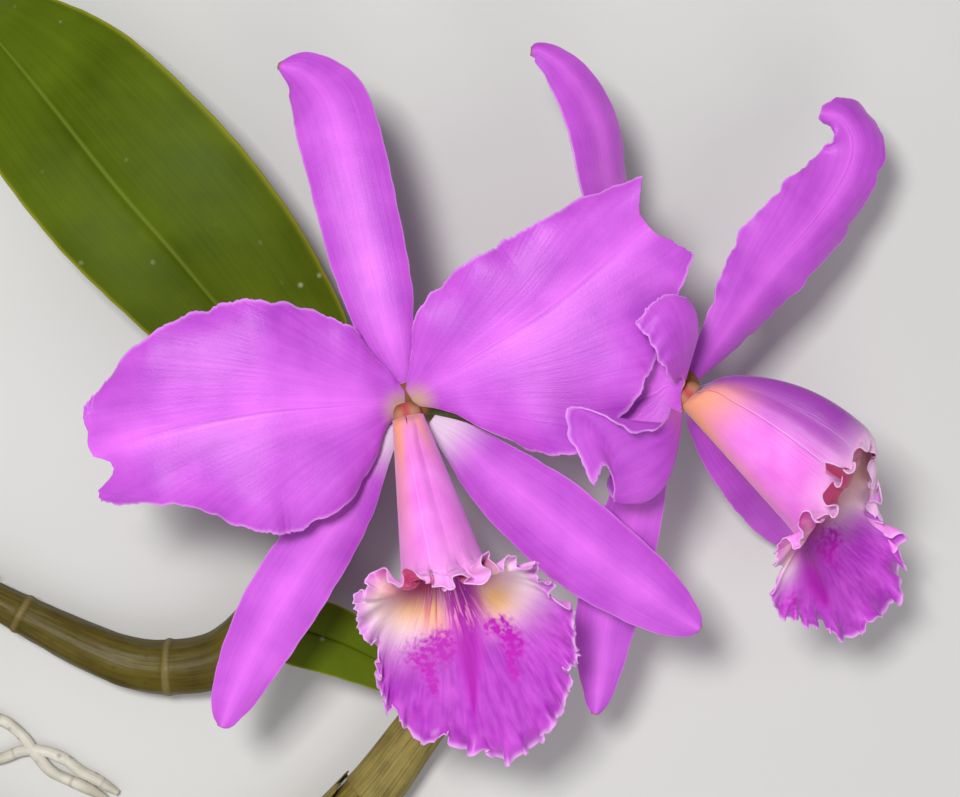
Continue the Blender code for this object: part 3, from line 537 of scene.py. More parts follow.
def tepal_tissue(name, root, nip, vein_count, rib, bloom):
    """Tepal tissue, grown soft and turgid.

    Its cells stand in fine rows from base to tip, which gives a faint satin streak, and
    they catch the light as a fine sparkle. A single row of cells is far too fine to
    show, so the streaks here are drawn about 1 mm apart and the sparkle about 0.7 mm.
    """
    made, add = new_material(
        name, 0.46, Specular_IOR_Level=0.35, Sheen_Weight=0.25, Sheen_Roughness=0.4,
        Sheen_Tint=hex_colour("F2B8F0"), **SOFT_FLESH,
    )
    blade = add("UVMap", uv_map="blade")
    place = add("TexCoord", pick="Object")
    rows = add("VectorMath", blade, (vein_count, 1.6, 1.0), operation="MULTIPLY")
    streak = add("TexNoise", rows, 1.0, 3.0)
    fine_rows = add("VectorMath", blade, (vein_count * 3.2, 5.0, 1.0), operation="MULTIPLY")
    fine_streak = add("TexNoise", fine_rows, 1.0, 2.0)
    cloud = add("TexNoise", place, 70.0, 3.0)
    sparkle = add("TexNoise", place, 1500.0, 1.0)
    middle_tint_and_light, rim, base, tip = (
        add("Attribute", pick="Fac", attribute_name=key) for key in ("middle_tint_and_light", "rim", "root", "nip")
    )
    shade = add("Math", streak, 0.5, cloud, operation="MULTIPLY_ADD")
    # The middle band lifts the colour towards petal_light: partly the tepal's own lighter middle, partly a
    # painted highlight where the light falls fullest.
    shade = add("Math", shade, middle_tint_and_light, operation="ADD")
    across, lengthwise = add("SeparateXYZ", blade, pick=None).outputs[:2]
    # The midrib is drawn as a thin darker line with a lighter line beside it: painted shade and painted
    # highlight of its groove.
    for shift, depth in ((0.0, -0.24), (-2.0 * rib, 0.26)) if rib > 0.0 else ():
        aside = add("Math", across, 0.5 + shift, rib, operation="COMPARE")
        window = add("MapRange", lengthwise, 0.12, 0.35, 0.0, depth)
        closing = add("MapRange", lengthwise, 0.6, 0.92, 1.0, 0.0)
        drawn = add("Math", window, closing, operation="MULTIPLY")
        shade = add("Math", aside, drawn, shade, operation="MULTIPLY_ADD")
    ramp = add("MapRange", shade, 0.5, 1.35)
    paint = add("Mix", ramp, bloom.petal_colour[:], bloom.petal_light[:], data_type="RGBA")
    lines = add("MapRange", fine_streak, 0.3, 0.7, 0.9, 1.06)
    paint = add("Mix", bloom.vein_strength, paint, lines, data_type="RGBA", blend_type="MULTIPLY")
    uneven = add("Math", streak, 0.42, operation="ADD")
    base = add("Math", base, uneven, operation="MULTIPLY", use_clamp=True)
    for mask, colour in ((rim, bloom.petal_rim[:]), (base, hex_colour(root)), (tip, hex_colour(nip))):
        paint = add("Mix", mask, paint, colour, data_type="RGBA")
    relief = add("Math", fine_streak, 1.6, sparkle, operation="MULTIPLY_ADD")
    return finish_material(made, paint, Height=relief, Strength=0.28, Distance=0.00025)


def tepal_masks(lengthwise, across, glow_width, root_reach, nip_reach):
    """The masks that the tepal tissue reads, from the places along and across."""
    margin = np.abs(across)
    return {
        # Middle band: partly own lighter colour, partly painted highlight.
        "middle_tint_and_light": 0.45 * np.exp(-(margin / glow_width) ** 2) * smooth_step(0.0, 0.2, lengthwise),
        "rim": 0.55 * smooth_step(0.955, 1.0, margin),
        "root": 1.0 - smooth_step(0.25 * root_reach, root_reach + 0.001, lengthwise),
        "nip": smooth_step(nip_reach, 1.0, lengthwise) if nip_reach < 1.0 else 0.0 * margin,
    }


def wall_of(across, wall):
    """Thickness across a blade: full at the middle and thin at the margins."""
    return wall[0] + (wall[1] - wall[0]) * np.abs(across) ** 3


def fan_coordinates(points, lengthwise, fan):
    """UV places whose first number stays the same along veins that fan from the base."""
    middle = points[:, points.shape[1] // 2]
    aside = np.linalg.norm(points - middle[:, None], axis=2)
    hand = np.sign(np.linspace(-1.0, 1.0, points.shape[1]))
    spread = hand * aside / (run_length(middle)[:, None] + 9.0) ** fan
    return 0.5 + 0.5 * spread / np.abs(spread).max(), lengthwise


def make_blade(name, stations, grid, shape, waves, wall, masks, tissue, fan=0.0, heart=None, **more):
    """A sepal or petal as a finished piece that stands for its solid.

    heart holds the middle of a pale patch at the blade's base, where it is full
    and where it ends, in millimetres.
    """
    points, lengthwise, across = blade_points(stations, grid, shape, waves, **more)
    flat = fan_coordinates(points, lengthwise, fan) if fan > 0.0 else ((across + 1.0) / 2.0, lengthwise)
    masks = tepal_masks(lengthwise, across, *masks)
    if heart is not None:
        away = np.hypot(points[..., 0] - heart[0], points[..., 1] - heart[1])
        masks["root"] = 1.0 - smooth_step(heart[2], heart[3], away)
    made = thick_sheet(name + "_tissue", points, wall_of(across, wall), flat, masks)
    finish_piece(made, tissue, "petal", name)


def colour_setting(name, description, text):
    """A colour that a user would change, from sRGB hex digits."""
    return bpy.props.FloatVectorProperty(
        name=name, description=description, subtype="COLOR", size=4, min=0.0, max=1.0,
        default=hex_colour(text),
    )


class CattleyaBloomSettings(bpy.types.PropertyGroup):
    """Sizes and colours of the two blooms"""

    petal_colour: colour_setting("Petal colour", "Main colour of the petals and sepals", "AC40BE")
    # petal_light is partly the petals' own lighter middle and partly painted highlight.
    petal_light: colour_setting("Petal light", "Colour along the middle of each petal", "D866E0")
    petal_rim: colour_setting("Petal rim", "Colour of the thin margins", "E7A6EE")
    blotch_colour: colour_setting("Lip blotch", "Colour round the stripe of each lip", "B406B4")
    vein_strength: bpy.props.FloatProperty(
        name="Vein strength", description="How dark the fine veins are", subtype="FACTOR",
        min=0.0, max=1.0, default=0.42,
    )
    frill_height: bpy.props.FloatProperty(
        name="Frill height", description="How far the lips' frills stand out, in millimetres",
        min=0.5, max=4.0, default=2.2,
    )


class CattleyaGrowthSettings(bpy.types.PropertyGroup):
    """Sizes and colours of the leaves, canes and roots"""

    leaf_colour: colour_setting("Leaf colour", "Main colour of the leaves", "3E4D06")
    cane_colour: colour_setting("Cane colour", "Main colour of the younger pseudobulb", "3E340A")
    joint_spacing: bpy.props.FloatProperty(
        name="Joint spacing", description="Distance between the joints of a pseudobulb",
        subtype="DISTANCE", unit="LENGTH", min=0.01, max=0.1, default=0.048,
    )


class CattleyaStageSettings(bpy.types.PropertyGroup):
    """The floor and the light"""

    floor_colour: colour_setting("Floor colour", "Colour of the plain floor", "C9C8C4")
    key_power: bpy.props.FloatProperty(
        name="Key light", description="Power of the main soft light", subtype="POWER", unit="POWER",
        min=0.0, max=100.0, default=7.7,
    )


class CATTLEYA_OT_sepals(bpy.types.Operator):
    """Make the sepals of both blooms"""

    bl_idname = "cattleya.sepals"
    bl_label = "Sepals"

    def execute(self, context):
        # The pale sepal bases are partly their own cream colour and partly a painted sheen.
        tissue = tepal_tissue(
            "Lilac sepal tissue", "DCC6D6", "8A5A4A", 26.0, 0.0, context.scene.cattleya_bloom,
        )
        flat_sepal = ((4.0, -22.0, 0.0),) * 2
        cupped_sepal = ((6.0, -32.0, 0.0),) * 2
        sepals = (
            ("bloom_1_dorsal_sepal", DORSAL_SEPAL_1, cupped_sepal, 0.0),
            ("bloom_1_left_sepal", LEFT_SEPAL_1, flat_sepal, 0.18),
            ("bloom_1_right_sepal", RIGHT_SEPAL_1, flat_sepal, 0.2),
            ("bloom_2_dorsal_sepal", DORSAL_SEPAL_2, flat_sepal, 0.0),
            ("bloom_2_near_sepal", NEAR_SEPAL_2, flat_sepal, 0.2),
            ("bloom_2_far_sepal", FAR_SEPAL_2, flat_sepal, 0.2),
        )
        for number, (name, stations, shape, root) in enumerate(sepals):
            make_blade(
                name, stations, (90, 36), shape, (0.25, 2.3, number * 1.3, 0.0), SEPAL_WALL,
                (0.3, root, 0.975), tissue, edge=(0.22, 0.12), seed=20 + number,
            )
        return {"FINISHED"}


class CATTLEYA_OT_petals(bpy.types.Operator):
    """Make the petals of both blooms"""

    bl_idname = "cattleya.petals"
    bl_label = "Petals"

    def execute(self, context):
        tissue = tepal_tissue(
            "Lilac petal tissue", "BC9676", "B94BD2", 60.0, 0.003, context.scene.cattleya_bloom,
        )
        petals = (
            (
                "bloom_1_left_petal", LEFT_PETAL_1, ((8.0, -14.0, -20.0), (8.0, -14.0, -18.0)),
                (1.5, 4.0, 0.4, 0.2), (5.5, 0.75, 1.0), (-21.6, -3.0, 0.5, 8.0),
                (2.7, 4.0, 0.0, 1.0, 6.0, 5.0, 3.0, 0.5, -2.0),
            ),
            (
                "bloom_1_right_petal", RIGHT_PETAL_1, ((8.0, -14.0, -18.0), (6.0, -12.0, -16.0)),
                (1.5, 4.0, 2.0, 0.2), (6.5, 0.75, 1.0), (-17.8, -1.4, 0.5, 8.0),
                (1.5, 0.5, 0.0, 0.0, 0.0, 0.3, 0.8, 0.0, -1.0),
            ),
            (
                "bloom_2_far_petal", FAR_PETAL_2, ((12.0, -30.0, 0.0), (-4.0, -52.0, 0.0)),
                (1.9, 3.0, 1.0, 0.0), (0.0, 1.1, 0.5), None, None,
            ),
        )
        for number, (name, stations, shape, waves, edge, heart, tip) in enumerate(petals):
            make_blade(
                name, stations, (170, 80), shape, waves, PETAL_WALL, (0.22, 0.0, 1.0), tissue,
                fan=1.3, heart=heart, fork=edge[0], edge=edge[1:], tip=tip, seed=3 + number,
            )
        self.make_cupped_petal(tissue)
        return {"FINISHED"}

    def make_cupped_petal(self, tissue):
        """The near petal of the second bloom, from its cage of points."""
        up = np.linspace(0.0, 1.0, 111)
        place = np.linspace(0.0, 1.0, 151)
        by_row = np.stack([along(row, place, CAGE_EASE) for row in NEAR_PETAL_2])
        points = along(by_row, up, CAGE_EASE)
        across, lengthwise = np.meshgrid(2.0 * place - 1.0, up)
        rim = np.abs(across) ** 5 * smooth_step(0.1, 0.4, lengthwise)
        lean = 0.5 * rim * np.sin(2.0 * math.pi * 4.5 * lengthwise)
        points = ragged(points + np.array((0.3, 0.3, 0.9)) * lean[..., None], 41)
        masks = tepal_masks(lengthwise, across, 0.25, 0.0, 1.0)
        masks["rim"] = np.maximum(masks["rim"], 0.55 * smooth_step(0.96, 1.0, lengthwise))
        name = "bloom_2_near_petal"
        flat = ((across + 1.0) / 2.0, lengthwise)
        made = thick_sheet(name + "_tissue", points, np.full(across.shape, 0.5), flat, masks)
        finish_piece(made, tissue, "petal", name)


def ragged(points, seed):
    """The grid with lobes and teeth along its two side margins and its far one."""
    rows, columns = points.shape[:2]
    across, up = np.meshgrid(np.linspace(-1.0, 1.0, columns), np.linspace(0.0, 1.0, rows))
    aside = unit(np.gradient(points, axis=1))
    ahead = unit(np.gradient(points, axis=0))
    for number, hand in enumerate((-1.0, 1.0)):
        waves = edge_waves(run_length(points[:, -number]), seed + number)[:, None]
        weight = np.clip(hand * across, 0.0, 1.0) ** 12 * smooth_step(0.08, 0.3, up)
        points = points + hand * aside * (waves * weight)[..., None]
    waves = edge_waves(run_length(points[-1]), seed + 2)
    return points + ahead * (waves * smooth_step(0.88, 1.0, up))[..., None]


def lip_axes(lip):
    """A lip's own directions: out along its tube, and towards its upper side."""
    axis = unit(np.array(lip["axis"]))
    top = np.array(lip["top"])
    return axis, unit(top - axis * top.dot(axis))


def lip_points(lip, frill):
    """The grid of points of a trumpet lip, and what the masks need at each point.

    Run is 0 at the base, 1 at the mouth and 2 at the frilled margin. across and onward
    are millimetres to the side of the mouth's lower edge and on from it.
    """
    axis, top = lip_axes(lip)
    right = np.cross(top, axis)
    twist = math.radians(lip["twist"])
    fan_top, fan_right = (
        way * math.cos(twist) + np.cross(axis, way) * math.sin(twist) for way in (top, right)
    )
    limb = 2.0 - (1.0 - np.linspace(0.0, 1.0, 44)) ** 1.35
    run = np.append(np.linspace(0.0, 1.0, 24)[:-1], limb)
    spread, run = np.meshgrid(np.linspace(-1.0, 1.0, 641), run)
    closing = LIP_JOIN + (LIP_OVERLAP - LIP_JOIN) * smooth_step(0.0, 0.2, run)
    angle = math.pi * closing * spread - math.radians(lip["seam"])
    cosine = np.cos(angle)
    sine = np.sin(angle)
    bottom = np.maximum(cosine, 0.0) ** 2.3
    upper = np.maximum(-cosine, 0.0) ** 2.3
    shares = np.stack((bottom, 1.0 - bottom - upper, upper), axis=-1)
    tube, length, flare = (shares @ np.array(lip[key], float) for key in ("tube", "length", "flare"))
    reach = np.where(run < 1.0, run * tube, tube + (run - 1.0) * (length - tube))
    drop = np.where(cosine > 0.0, LIP_FAN_DROP, 1.0)
    fan = sine[..., None] * fan_right - (cosine * drop)[..., None] * fan_top
    run_out = np.zeros(fan.shape)
    steps = 24
    for step in range(steps):
        past = reach * (step + 0.5) / steps - tube
        turn = np.radians(flare) * smooth_step(-0.5 * LIP_TURN_LENGTH, 0.5 * LIP_TURN_LENGTH, past)
        heading = unit(axis * np.cos(turn)[..., None] + fan * np.sin(turn)[..., None])
        run_out = run_out + heading * (reach / steps)[..., None]
    grown = np.minimum(reach, tube) / tube
    wide = LIP_THROAT + (lip["width"] - LIP_THROAT) * grown ** lip["swell"][0]
    high = LIP_THROAT + (0.5 * lip["rise"] - LIP_THROAT) * grown ** lip["swell"][1]
    lapped = 1.3 * smooth_step(0.84, 0.95, spread) * smooth_step(0.0, 0.1, run)
    crown = np.clip(np.cos(angle - math.radians(165.0)), 0.0, 1.0) ** 2
    crown = crown * np.sin(math.pi * np.clip(run, 0.0, 1.0))
    lift = high - LIP_THROAT + lip["bulge"] * crown - cosine * (high + lapped)
    points = np.array(lip["base"]) + run_out + right * (sine * (wide + lapped))[..., None]
    points = points + top * lift[..., None]
    table = np.array(lip["margin"])
    fine = np.arange(table[0, 0], table[-1, 0] + 0.1, 0.5)
    wanted = []
    for column in table.T[1:]:
        drawn = np.pad(np.interp(fine, table[:, 0], column), 5, mode="edge")
        drawn = np.convolve(drawn, np.full(11, 1.0 / 11.0), "valid")
        wanted.append(np.interp(np.degrees(angle[-1]), fine, drawn))
    pull = np.clip((reach - tube + 5.0) / (length - tube + 5.0), 0.0, 1.0) ** 1.6
    points = points + (np.stack(wanted, axis=1) - points[-1]) * pull[..., None]

    # Curls, lobes, teeth and notches grow towards the margin
    ahead = unit(np.gradient(points, axis=0))
    aside = unit(np.gradient(points, axis=1))
    normal = unit(np.cross(ahead, aside))
    inset = np.linalg.norm(points - points[-1], axis=2)
    line = run_length(points[-1])
    slow = np.sin(line / 11.0) + 0.7 * np.sin(line / 6.1 + 1.0)
    round_top = smooth_step(0.0, 0.5, -cosine)
    broad = 2.0 * math.pi * line / 11.5 + 1.1 * slow
    broad_curl = frill * (0.85 + 0.35 * np.sin(line / 19.0 + 2.0)) * np.exp(-(inset / 5.5) ** 2)
    tight = 2.0 * math.pi * line / 5.2 + 1.6 * slow
    tight_curl = 0.5 * frill * (1.0 + 0.6 * np.sin(line / 8.3)) * np.exp(-(inset / 3.0) ** 2)
    tight_curl = tight_curl * (1.0 - 0.55 * round_top)
    height = broad_curl * np.sin(broad) + tight_curl * np.sin(tight)
    height = height + 0.5 * np.sin(3.0 * angle + 0.1 * inset) * smooth_step(1.05, 1.3, run)
    sideways = 0.55 * broad_curl * np.sin(2.0 * broad) + 0.5 * tight_curl * np.sin(2.0 * tight)
    teeth = 0.62 - np.abs(np.sin(math.pi * (line / 2.1 + 0.4 * slow)))
    teeth = teeth + 0.6 * (0.62 - np.abs(np.sin(math.pi * (line / 1.37 + 0.7 * slow))))
    teeth = 0.95 * (0.75 + 0.35 * slow) * (1.0 - 0.75 * round_top) * teeth * np.exp(-inset / 1.6)
    lobes = (0.8 + 0.8 * round_top) * np.cos(broad + 0.8) * np.exp(-inset / 4.5)
    cut = 1.6 * smooth_step(0.98, 1.0, np.abs(spread)) ** 2
    for place, depth, width in lip["notches"]:
        away = (np.degrees(angle[-1]) - place) / width
        cut = cut + depth * np.exp(-away ** 2) * (1.0 + 0.15 * np.sin(line * 3.0))
    forward = teeth + lobes - cut * np.exp(-inset / 3.5)
    moved = normal * height[..., None] - aside * sideways[..., None] + ahead * forward[..., None]
    points = points + moved * smooth_step(0.75, 1.1, run)[..., None]
    past_mouth = points - np.array(lip["base"]) - axis * lip["tube"][0]
    # A pale line along the lapped seam: partly the pale lapped margin, partly a painted highlight.
    seam = 0.35 * smooth_step(0.985, 1.0, spread) * smooth_step(0.1, 0.3, run)
    return points, angle, run, past_mouth @ fan_right, past_mouth @ axis, seam


def lip_masks(lip, angle, run, across, onward, seam):
    """Where the lip's own colours lie.

    Each patch of a lip holds its middle in across and onward, its two reaches and its
    weight. Outside, the colours follow the angle round the tube and the run.
    """
    degrees = np.degrees(angle)

    def side(place, wide):
        return np.exp(-(np.abs((degrees - place + 180.0) % 360.0 - 180.0) / wide) ** 4)

    inner = smooth_step(0.85, 1.0, run)
    masks = {}
    for kind in ("feather", "gold", "milky", "combed"):
        masks[kind] = np.zeros_like(across)
        for aside, ahead, wide, tall, weight in lip[kind]:
            away = ((across - aside) / wide) ** 2 + ((onward - ahead) / tall) ** 2
            masks[kind] += weight * np.exp(-away) * inner
    turned = np.abs((degrees + 180.0) % 360.0 - 180.0)
    wings = np.exp(-((turned - 105.0) / 38.0) ** 4) * (1.0 - smooth_step(1.4, 1.9, run))
    masks["milky"] += 0.9 * wings * inner
    place, middle, half = np.array(lip["streak"]).T
    away = np.abs(across - np.interp(onward, place, middle)) / np.interp(onward, place, half)
    streak = np.exp(-away ** 3) * inner * (1.0 - smooth_step(place[-1] - 4.0, place[-1], onward))
    masks["streak"] = streak * smooth_step(-0.3, 0.2, np.cos(angle))
    # A darker crimson band below the mouth's upper edge: partly the lip's own colour, partly painted shadow
    # under the collar.
    masks["throat"] = (1.0 - smooth_step(-1.0, 5.0, onward)) * np.exp(-(across / 16.0) ** 4)
    # The rim mask also carries the seam's pale line, partly a painted highlight.
    masks["rim"] = np.maximum(0.7 * smooth_step(1.95, 2.0, run), seam)
    collar = smooth_step(0.72, 1.1, run) * smooth_step(-0.5, 0.3, -np.cos(angle))
    masks["collar"] = lip["pallor"] * collar
    place, hollow = lip["peach"]
    peach = side(place, 62.0) * (1.0 - smooth_step(0.03, 0.42, run))
    peach = peach * (1.0 - hollow * side(place, 32.0) * smooth_step(-0.05, 0.12, run))
    masks["peach"] = peach + 0.55 * side(place + 62.0, 32.0) * (1.0 - smooth_step(0.3, 1.1, run))
    # One side of the outer tube painted darker, as painted shade.
    masks["dusky"] = side(*lip["dusky"]) * (1.0 - smooth_step(0.9, 1.05, run))
    return {key: np.clip(value, 0.0, 1.0) for key, value in masks.items()}


def lip_tissue(name, bloom):
    """Lip tissue: as the tepals', with colour laid down in patches from throat to rim.

    The dark patches are fed by forked veins, so their edges are feathered and mottled
    in spots of about 1.5 mm. The veins are drawn about 0.8 mm wide.
    """
    made, add = new_material(
        name, 0.42, Specular_IOR_Level=0.35, Sheen_Weight=0.2, Sheen_Roughness=0.4, **SOFT_FLESH,
    )
    blade = add("UVMap", uv_map="blade")
    place = add("TexCoord", pick="Object")
    keys = "upper streak feather gold milky throat combed rim collar peach dusky"
    masks = {key: add("Attribute", pick="Fac", attribute_name=key) for key in keys.split()}
    cloud = add("TexNoise", place, 90.0, 3.0)
    mottle = add("TexNoise", place, 620.0, 3.0)
    veins, fine, fringe = (
        add("TexNoise", add("VectorMath", blade, stretch, operation="MULTIPLY"), 1.0, 3.0, Distortion=0.5)
        for stretch in ((70.0, 3.0, 1.0), (230.0, 9.0, 1.0), (150.0, 12.0, 1.0))
    )
    outer = add("MapRange", cloud, 0.3, 0.7)
    outer = add("Mix", outer, hex_colour("E66EDA"), hex_colour("F690EA"), data_type="RGBA")
    # The first of these colours is painted shade on one side; peach and collar are the lip's own colours.
    for key, text in (("dusky", "973AA4"), ("peach", "F0A27C"), ("collar", "E9BEDC")):
        outer = add("Mix", masks[key], outer, hex_colour(text), data_type="RGBA")
    shade = add("Math", add("Math", cloud, fringe, operation="ADD"), 0.5, operation="MULTIPLY")
    shade = add("MapRange", shade, 0.38, 0.66)
    paint = add("Mix", shade, hex_colour("A62AB2"), hex_colour("C850CE"), data_type="RGBA")
    feather = add("Math", fringe, 0.3, operation="MULTIPLY")
    for pattern, weight in ((mottle, 0.55), (masks["feather"], 0.5)):
        feather = add("Math", pattern, weight, feather, operation="MULTIPLY_ADD")
    feather = add("MapRange", feather, 0.54, 0.76)
    core = add("MapRange", masks["streak"], 0.72, 0.98)
    core = add("Mix", core, bloom.blotch_colour[:], hex_colour("A600A4"), data_type="RGBA")
    combed, broken, stripe, lines = (
        add("Math", mask, add("MapRange", *levels), operation="MULTIPLY")
        for mask, levels in (
            (masks["combed"], (veins, 0.48, 0.56)),
            (feather, (mottle, 0.38, 0.54, 0.45, 1.0)),
            (masks["streak"], (fringe, 0.3, 0.5, 0.75, 1.0)),
            (masks["combed"], (fringe, 0.53, 0.58, 0.0, 0.75)),
        )
    )
    for mask, colour in (
        (masks["milky"], hex_colour("F6D6E4")),
        (masks["gold"], hex_colour("FFC484")),
        (combed, hex_colour("DC5A84")),
        # The throat band: partly own colour, partly painted shadow.
        (masks["throat"], hex_colour("AC2C5E")),
        (broken, hex_colour("B406AE")),
        (stripe, core),
        (lines, hex_colour("F694CC")),
        (masks["upper"], outer),
        (masks["rim"], hex_colour("F0BDF2")),
    ):
        paint = add("Mix", mask, paint, colour, data_type="RGBA")
    grain = add("MapRange", fine, 0.3, 0.7, 0.9, 1.06)
    paint = add("Mix", bloom.vein_strength, paint, grain, data_type="RGBA", blend_type="MULTIPLY")
    return finish_material(made, paint, Height=fine, Strength=0.4, Distance=0.0003)


class CATTLEYA_OT_lips(bpy.types.Operator):
    """Make the rolled, frilled lip of each bloom"""

    bl_idname = "cattleya.lips"
    bl_label = "Lips"

    def execute(self, context):
        bloom = context.scene.cattleya_bloom
        tissue = lip_tissue("Frilled lip tissue", bloom)
        for name, lip in (("bloom_1_lip", LIP_1), ("bloom_2_lip", LIP_2)):
            points, angle, run, *places = lip_points(lip, bloom.frill_height)
            wall = LIP_WALL[0] + (LIP_WALL[1] - LIP_WALL[0]) * smooth_step(1.2, 2.0, run)
            flat = (angle / (2.0 * math.pi) + 0.5, 0.5 * run)
            masks = lip_masks(lip, angle, run, *places)
            made = thick_sheet(name + "_tissue", points, wall, flat, masks)
            finish_piece(made, tissue, "lip", name)
        return {"FINISHED"}


def loft(name, stations, rows, sides, relief, blush=0.0):
    """A closed round solid through stations, with a relief by place and angle in mm.

    blush is how strongly a stripe along its upper side is flushed.
    """
    places = np.linspace(0.0, 1.0, rows + 1)
    values = along(stations, places)
    side, normal = (way[:, None] for way in frames_along(stations, places)[1:])
    around, place = np.meshgrid(np.linspace(0.0, 2.0 * math.pi, sides, endpoint=False), places)
    to_end = np.minimum(1.0, np.minimum(place, 1.0 - place) / 0.08)
    rounding = np.sqrt(1.0 - (1.0 - to_end) ** 2)
    radius = values[:, 3:4] * np.maximum(rounding, 0.02) + relief(place, around) * rounding
    ring = side * np.cos(around)[..., None] + normal * np.sin(around)[..., None]
    points = placed(values[:, None, :3] + ring * radius[..., None]).reshape(-1, 3)
    number = np.arange(around.size).reshape(around.shape)
    following = np.roll(number, -1, axis=1)
    corners = (number[:-1], following[:-1], following[1:], number[1:])
    faces = np.stack([corner.ravel() for corner in corners], axis=1).tolist()
    faces += [number[0, ::-1].tolist(), number[-1].tolist()]
    flush = blush * np.exp(-((around - 0.5 * math.pi) / 0.38) ** 2)
    return add_mesh(name, points, [], faces, {"lengthwise": place, "blush": flush})


def waxy_flesh(name, base, tip, bump_size, gloss=0.45):
    """Waxy flower flesh, grown smooth: a soft gloss and a slow change of colour."""
    made, add = new_material(
        name, 0.6 - 0.6 * gloss, Specular_IOR_Level=gloss, Coat_Weight=gloss ** 3, Coat_Roughness=0.3,
        Subsurface_Weight=0.2, Subsurface_Radius=(1.0, 0.5, 0.6), Subsurface_Scale=0.0015,
    )
    lengthwise = add("Attribute", pick="Fac", attribute_name="lengthwise")
    blush = add("Attribute", pick="Fac", attribute_name="blush")
    cloud = add("TexNoise", add("TexCoord", pick="Object"), bump_size, 3.0)
    shade = add("Math", cloud, 0.5, lengthwise, operation="MULTIPLY_ADD")
    shade = add("MapRange", shade, 0.3, 1.1)
    paint = add("Mix", shade, hex_colour(base), hex_colour(tip), data_type="RGBA")
    paint = add("Mix", blush, paint, hex_colour("B8404E"), data_type="RGBA")
    return finish_material(made, paint, Height=cloud, Strength=0.25, Distance=0.0003)


def heart_furrows(place, around):
    """Five furrows down the heart of a bloom."""
    return -0.35 * np.clip(np.cos(5.0 * around), 0.0, 1.0) ** 2 * place


def neck_channel(place, around):
    """A channel along the upper side of the neck below a column."""
    return -0.9 * np.exp(-((around - 0.5 * math.pi) / 0.4) ** 2)


def column_wings(place, around):
    """Two wings at the sides of a column, and a hollow below."""
    wings = 0.55 * np.cos(around) ** 2 - 0.7 * np.clip(-np.sin(around), 0.0, 1.0) ** 3
    return smooth_step(0.3, 0.9, place) * wings


def cap_lobes(place, around):
    """The cleft between the two lobes of an anther cap."""
    return -0.5 * np.exp(-(np.cos(around) / 0.18) ** 2) * np.sin(math.pi * place)


def tapered(start, axis, top, stations):
    """Stations of a round solid, from how far along, how far up and how thick each is."""
    return [(*(start + axis * reach + top * rise), radius) for reach, rise, radius in stations]


class CATTLEYA_OT_columns(bpy.types.Operator):
    """Make the heart of each bloom, and the column and anther cap in its lip"""

    bl_idname = "cattleya.columns"
    bl_label = "Columns"

    def execute(self, context):
        flesh = waxy_flesh("Waxy column flesh", "C0605A", "E9B9DC", 260.0)
        cap_flesh = waxy_flesh("Waxy anther cap", "EFE3C8", "F6EEDC", 700.0)
        # The heart's dark brown is painted shade in the hollow between the petal bases.
        heart_flesh = waxy_flesh("Waxy heart flesh in painted shade", "94683C", "7E4C26", 300.0, 0.12)
        neck_flesh = waxy_flesh("Waxy neck flesh", "84522C", "CC967A", 300.0, 0.12)
        for bloom, lip, foot, head in (
            ("bloom_1", LIP_1, (-20.0, -0.9, 56.0), (-20.0, -1.2, 62.0)),
            ("bloom_2", LIP_2, (55.2, 2.2, 52.2), (58.0, 3.2, 57.6)),
        ):
            axis, top = lip_axes(lip)
            base = np.array(lip["base"])
            heart = tapered(np.array(foot), np.subtract(head, foot), top, HEART)
            finish_piece(loft(bloom + "_heart_flesh", heart, 30, 40, heart_furrows), heart_flesh, "column")
            neck = tapered(base, axis, top, NECK)
            finish_piece(loft(bloom + "_neck_flesh", neck, 36, 48, neck_channel, 0.9), neck_flesh, "column")
            column = tapered(base, axis, top, COLUMN)
            made = loft(bloom + "_column_flesh", column, 40, 36, column_wings)
            finish_piece(made, flesh, "column", bloom + "_column")
            tip = np.array(column[-1][:3])
            cap = tapered(tip, unit(tip - np.array(column[-2][:3])), top, ANTHER_CAP)
            made = loft(bloom + "_anther_cap_flesh", cap, 24, 32, cap_lobes)
            finish_piece(made, cap_flesh, "anther_cap", bloom + "_anther_cap")
        return {"FINISHED"}


def leaf_skin(name, field):
    """Leathery leaf skin with a thick clear cuticle over green flesh.

    The cuticle gives a broad satin light, the parallel veins below it a faint streak,
    and dried water leaves chalky spots of 1 to 3 mm.
    """
    made, add = new_material(name, 0.5, Specular_IOR_Level=0.05)
    place = add("TexCoord", pick="Object")
    rows = add("VectorMath", add("UVMap", uv_map="blade"), (70.0, 2.0, 1.0), operation="MULTIPLY")
    veins = add("TexNoise", rows, 1.0, 3.0)
    cloud = add("TexNoise", place, 38.0, 4.0)
    keel, rim, tip = (add("Attribute", pick="Fac", attribute_name=key) for key in ("middle_tint_and_light", "rim", "nip"))
    shade = add("Math", veins, 0.35, cloud, operation="MULTIPLY_ADD")
    shade = add("MapRange", shade, 0.45, 0.95)
    dots = add("TexVoronoi", place, 150.0)
    dots = add("MapRange", dots, 0.05, 0.16, 1.0, 0.0)
    patch = add("TexNoise", place, 60.0, 2.0)
    patch = add("MapRange", patch, 0.52, 0.68)
    chalk = add("Math", dots, patch, operation="MULTIPLY")
    chalk = add("Math", chalk, 0.4, operation="MULTIPLY")
    paint = add("Mix", shade, field, hex_colour("56660E"), data_type="RGBA")
    for mask, text in ((keel, "74802A"), (rim, "8C8A26"), (chalk, "C9CBA4"), (tip, "6A5526")):
        paint = add("Mix", mask, paint, hex_colour(text), data_type="RGBA")
    rough = add("MapRange", cloud, 0.3, 0.7, 0.42, 0.56)
    made.node_tree.links.new(rough, made.node_tree.nodes["Principled BSDF"].inputs["Roughness"])
    return finish_material(made, paint, Height=veins, Strength=0.15, Distance=0.0003)


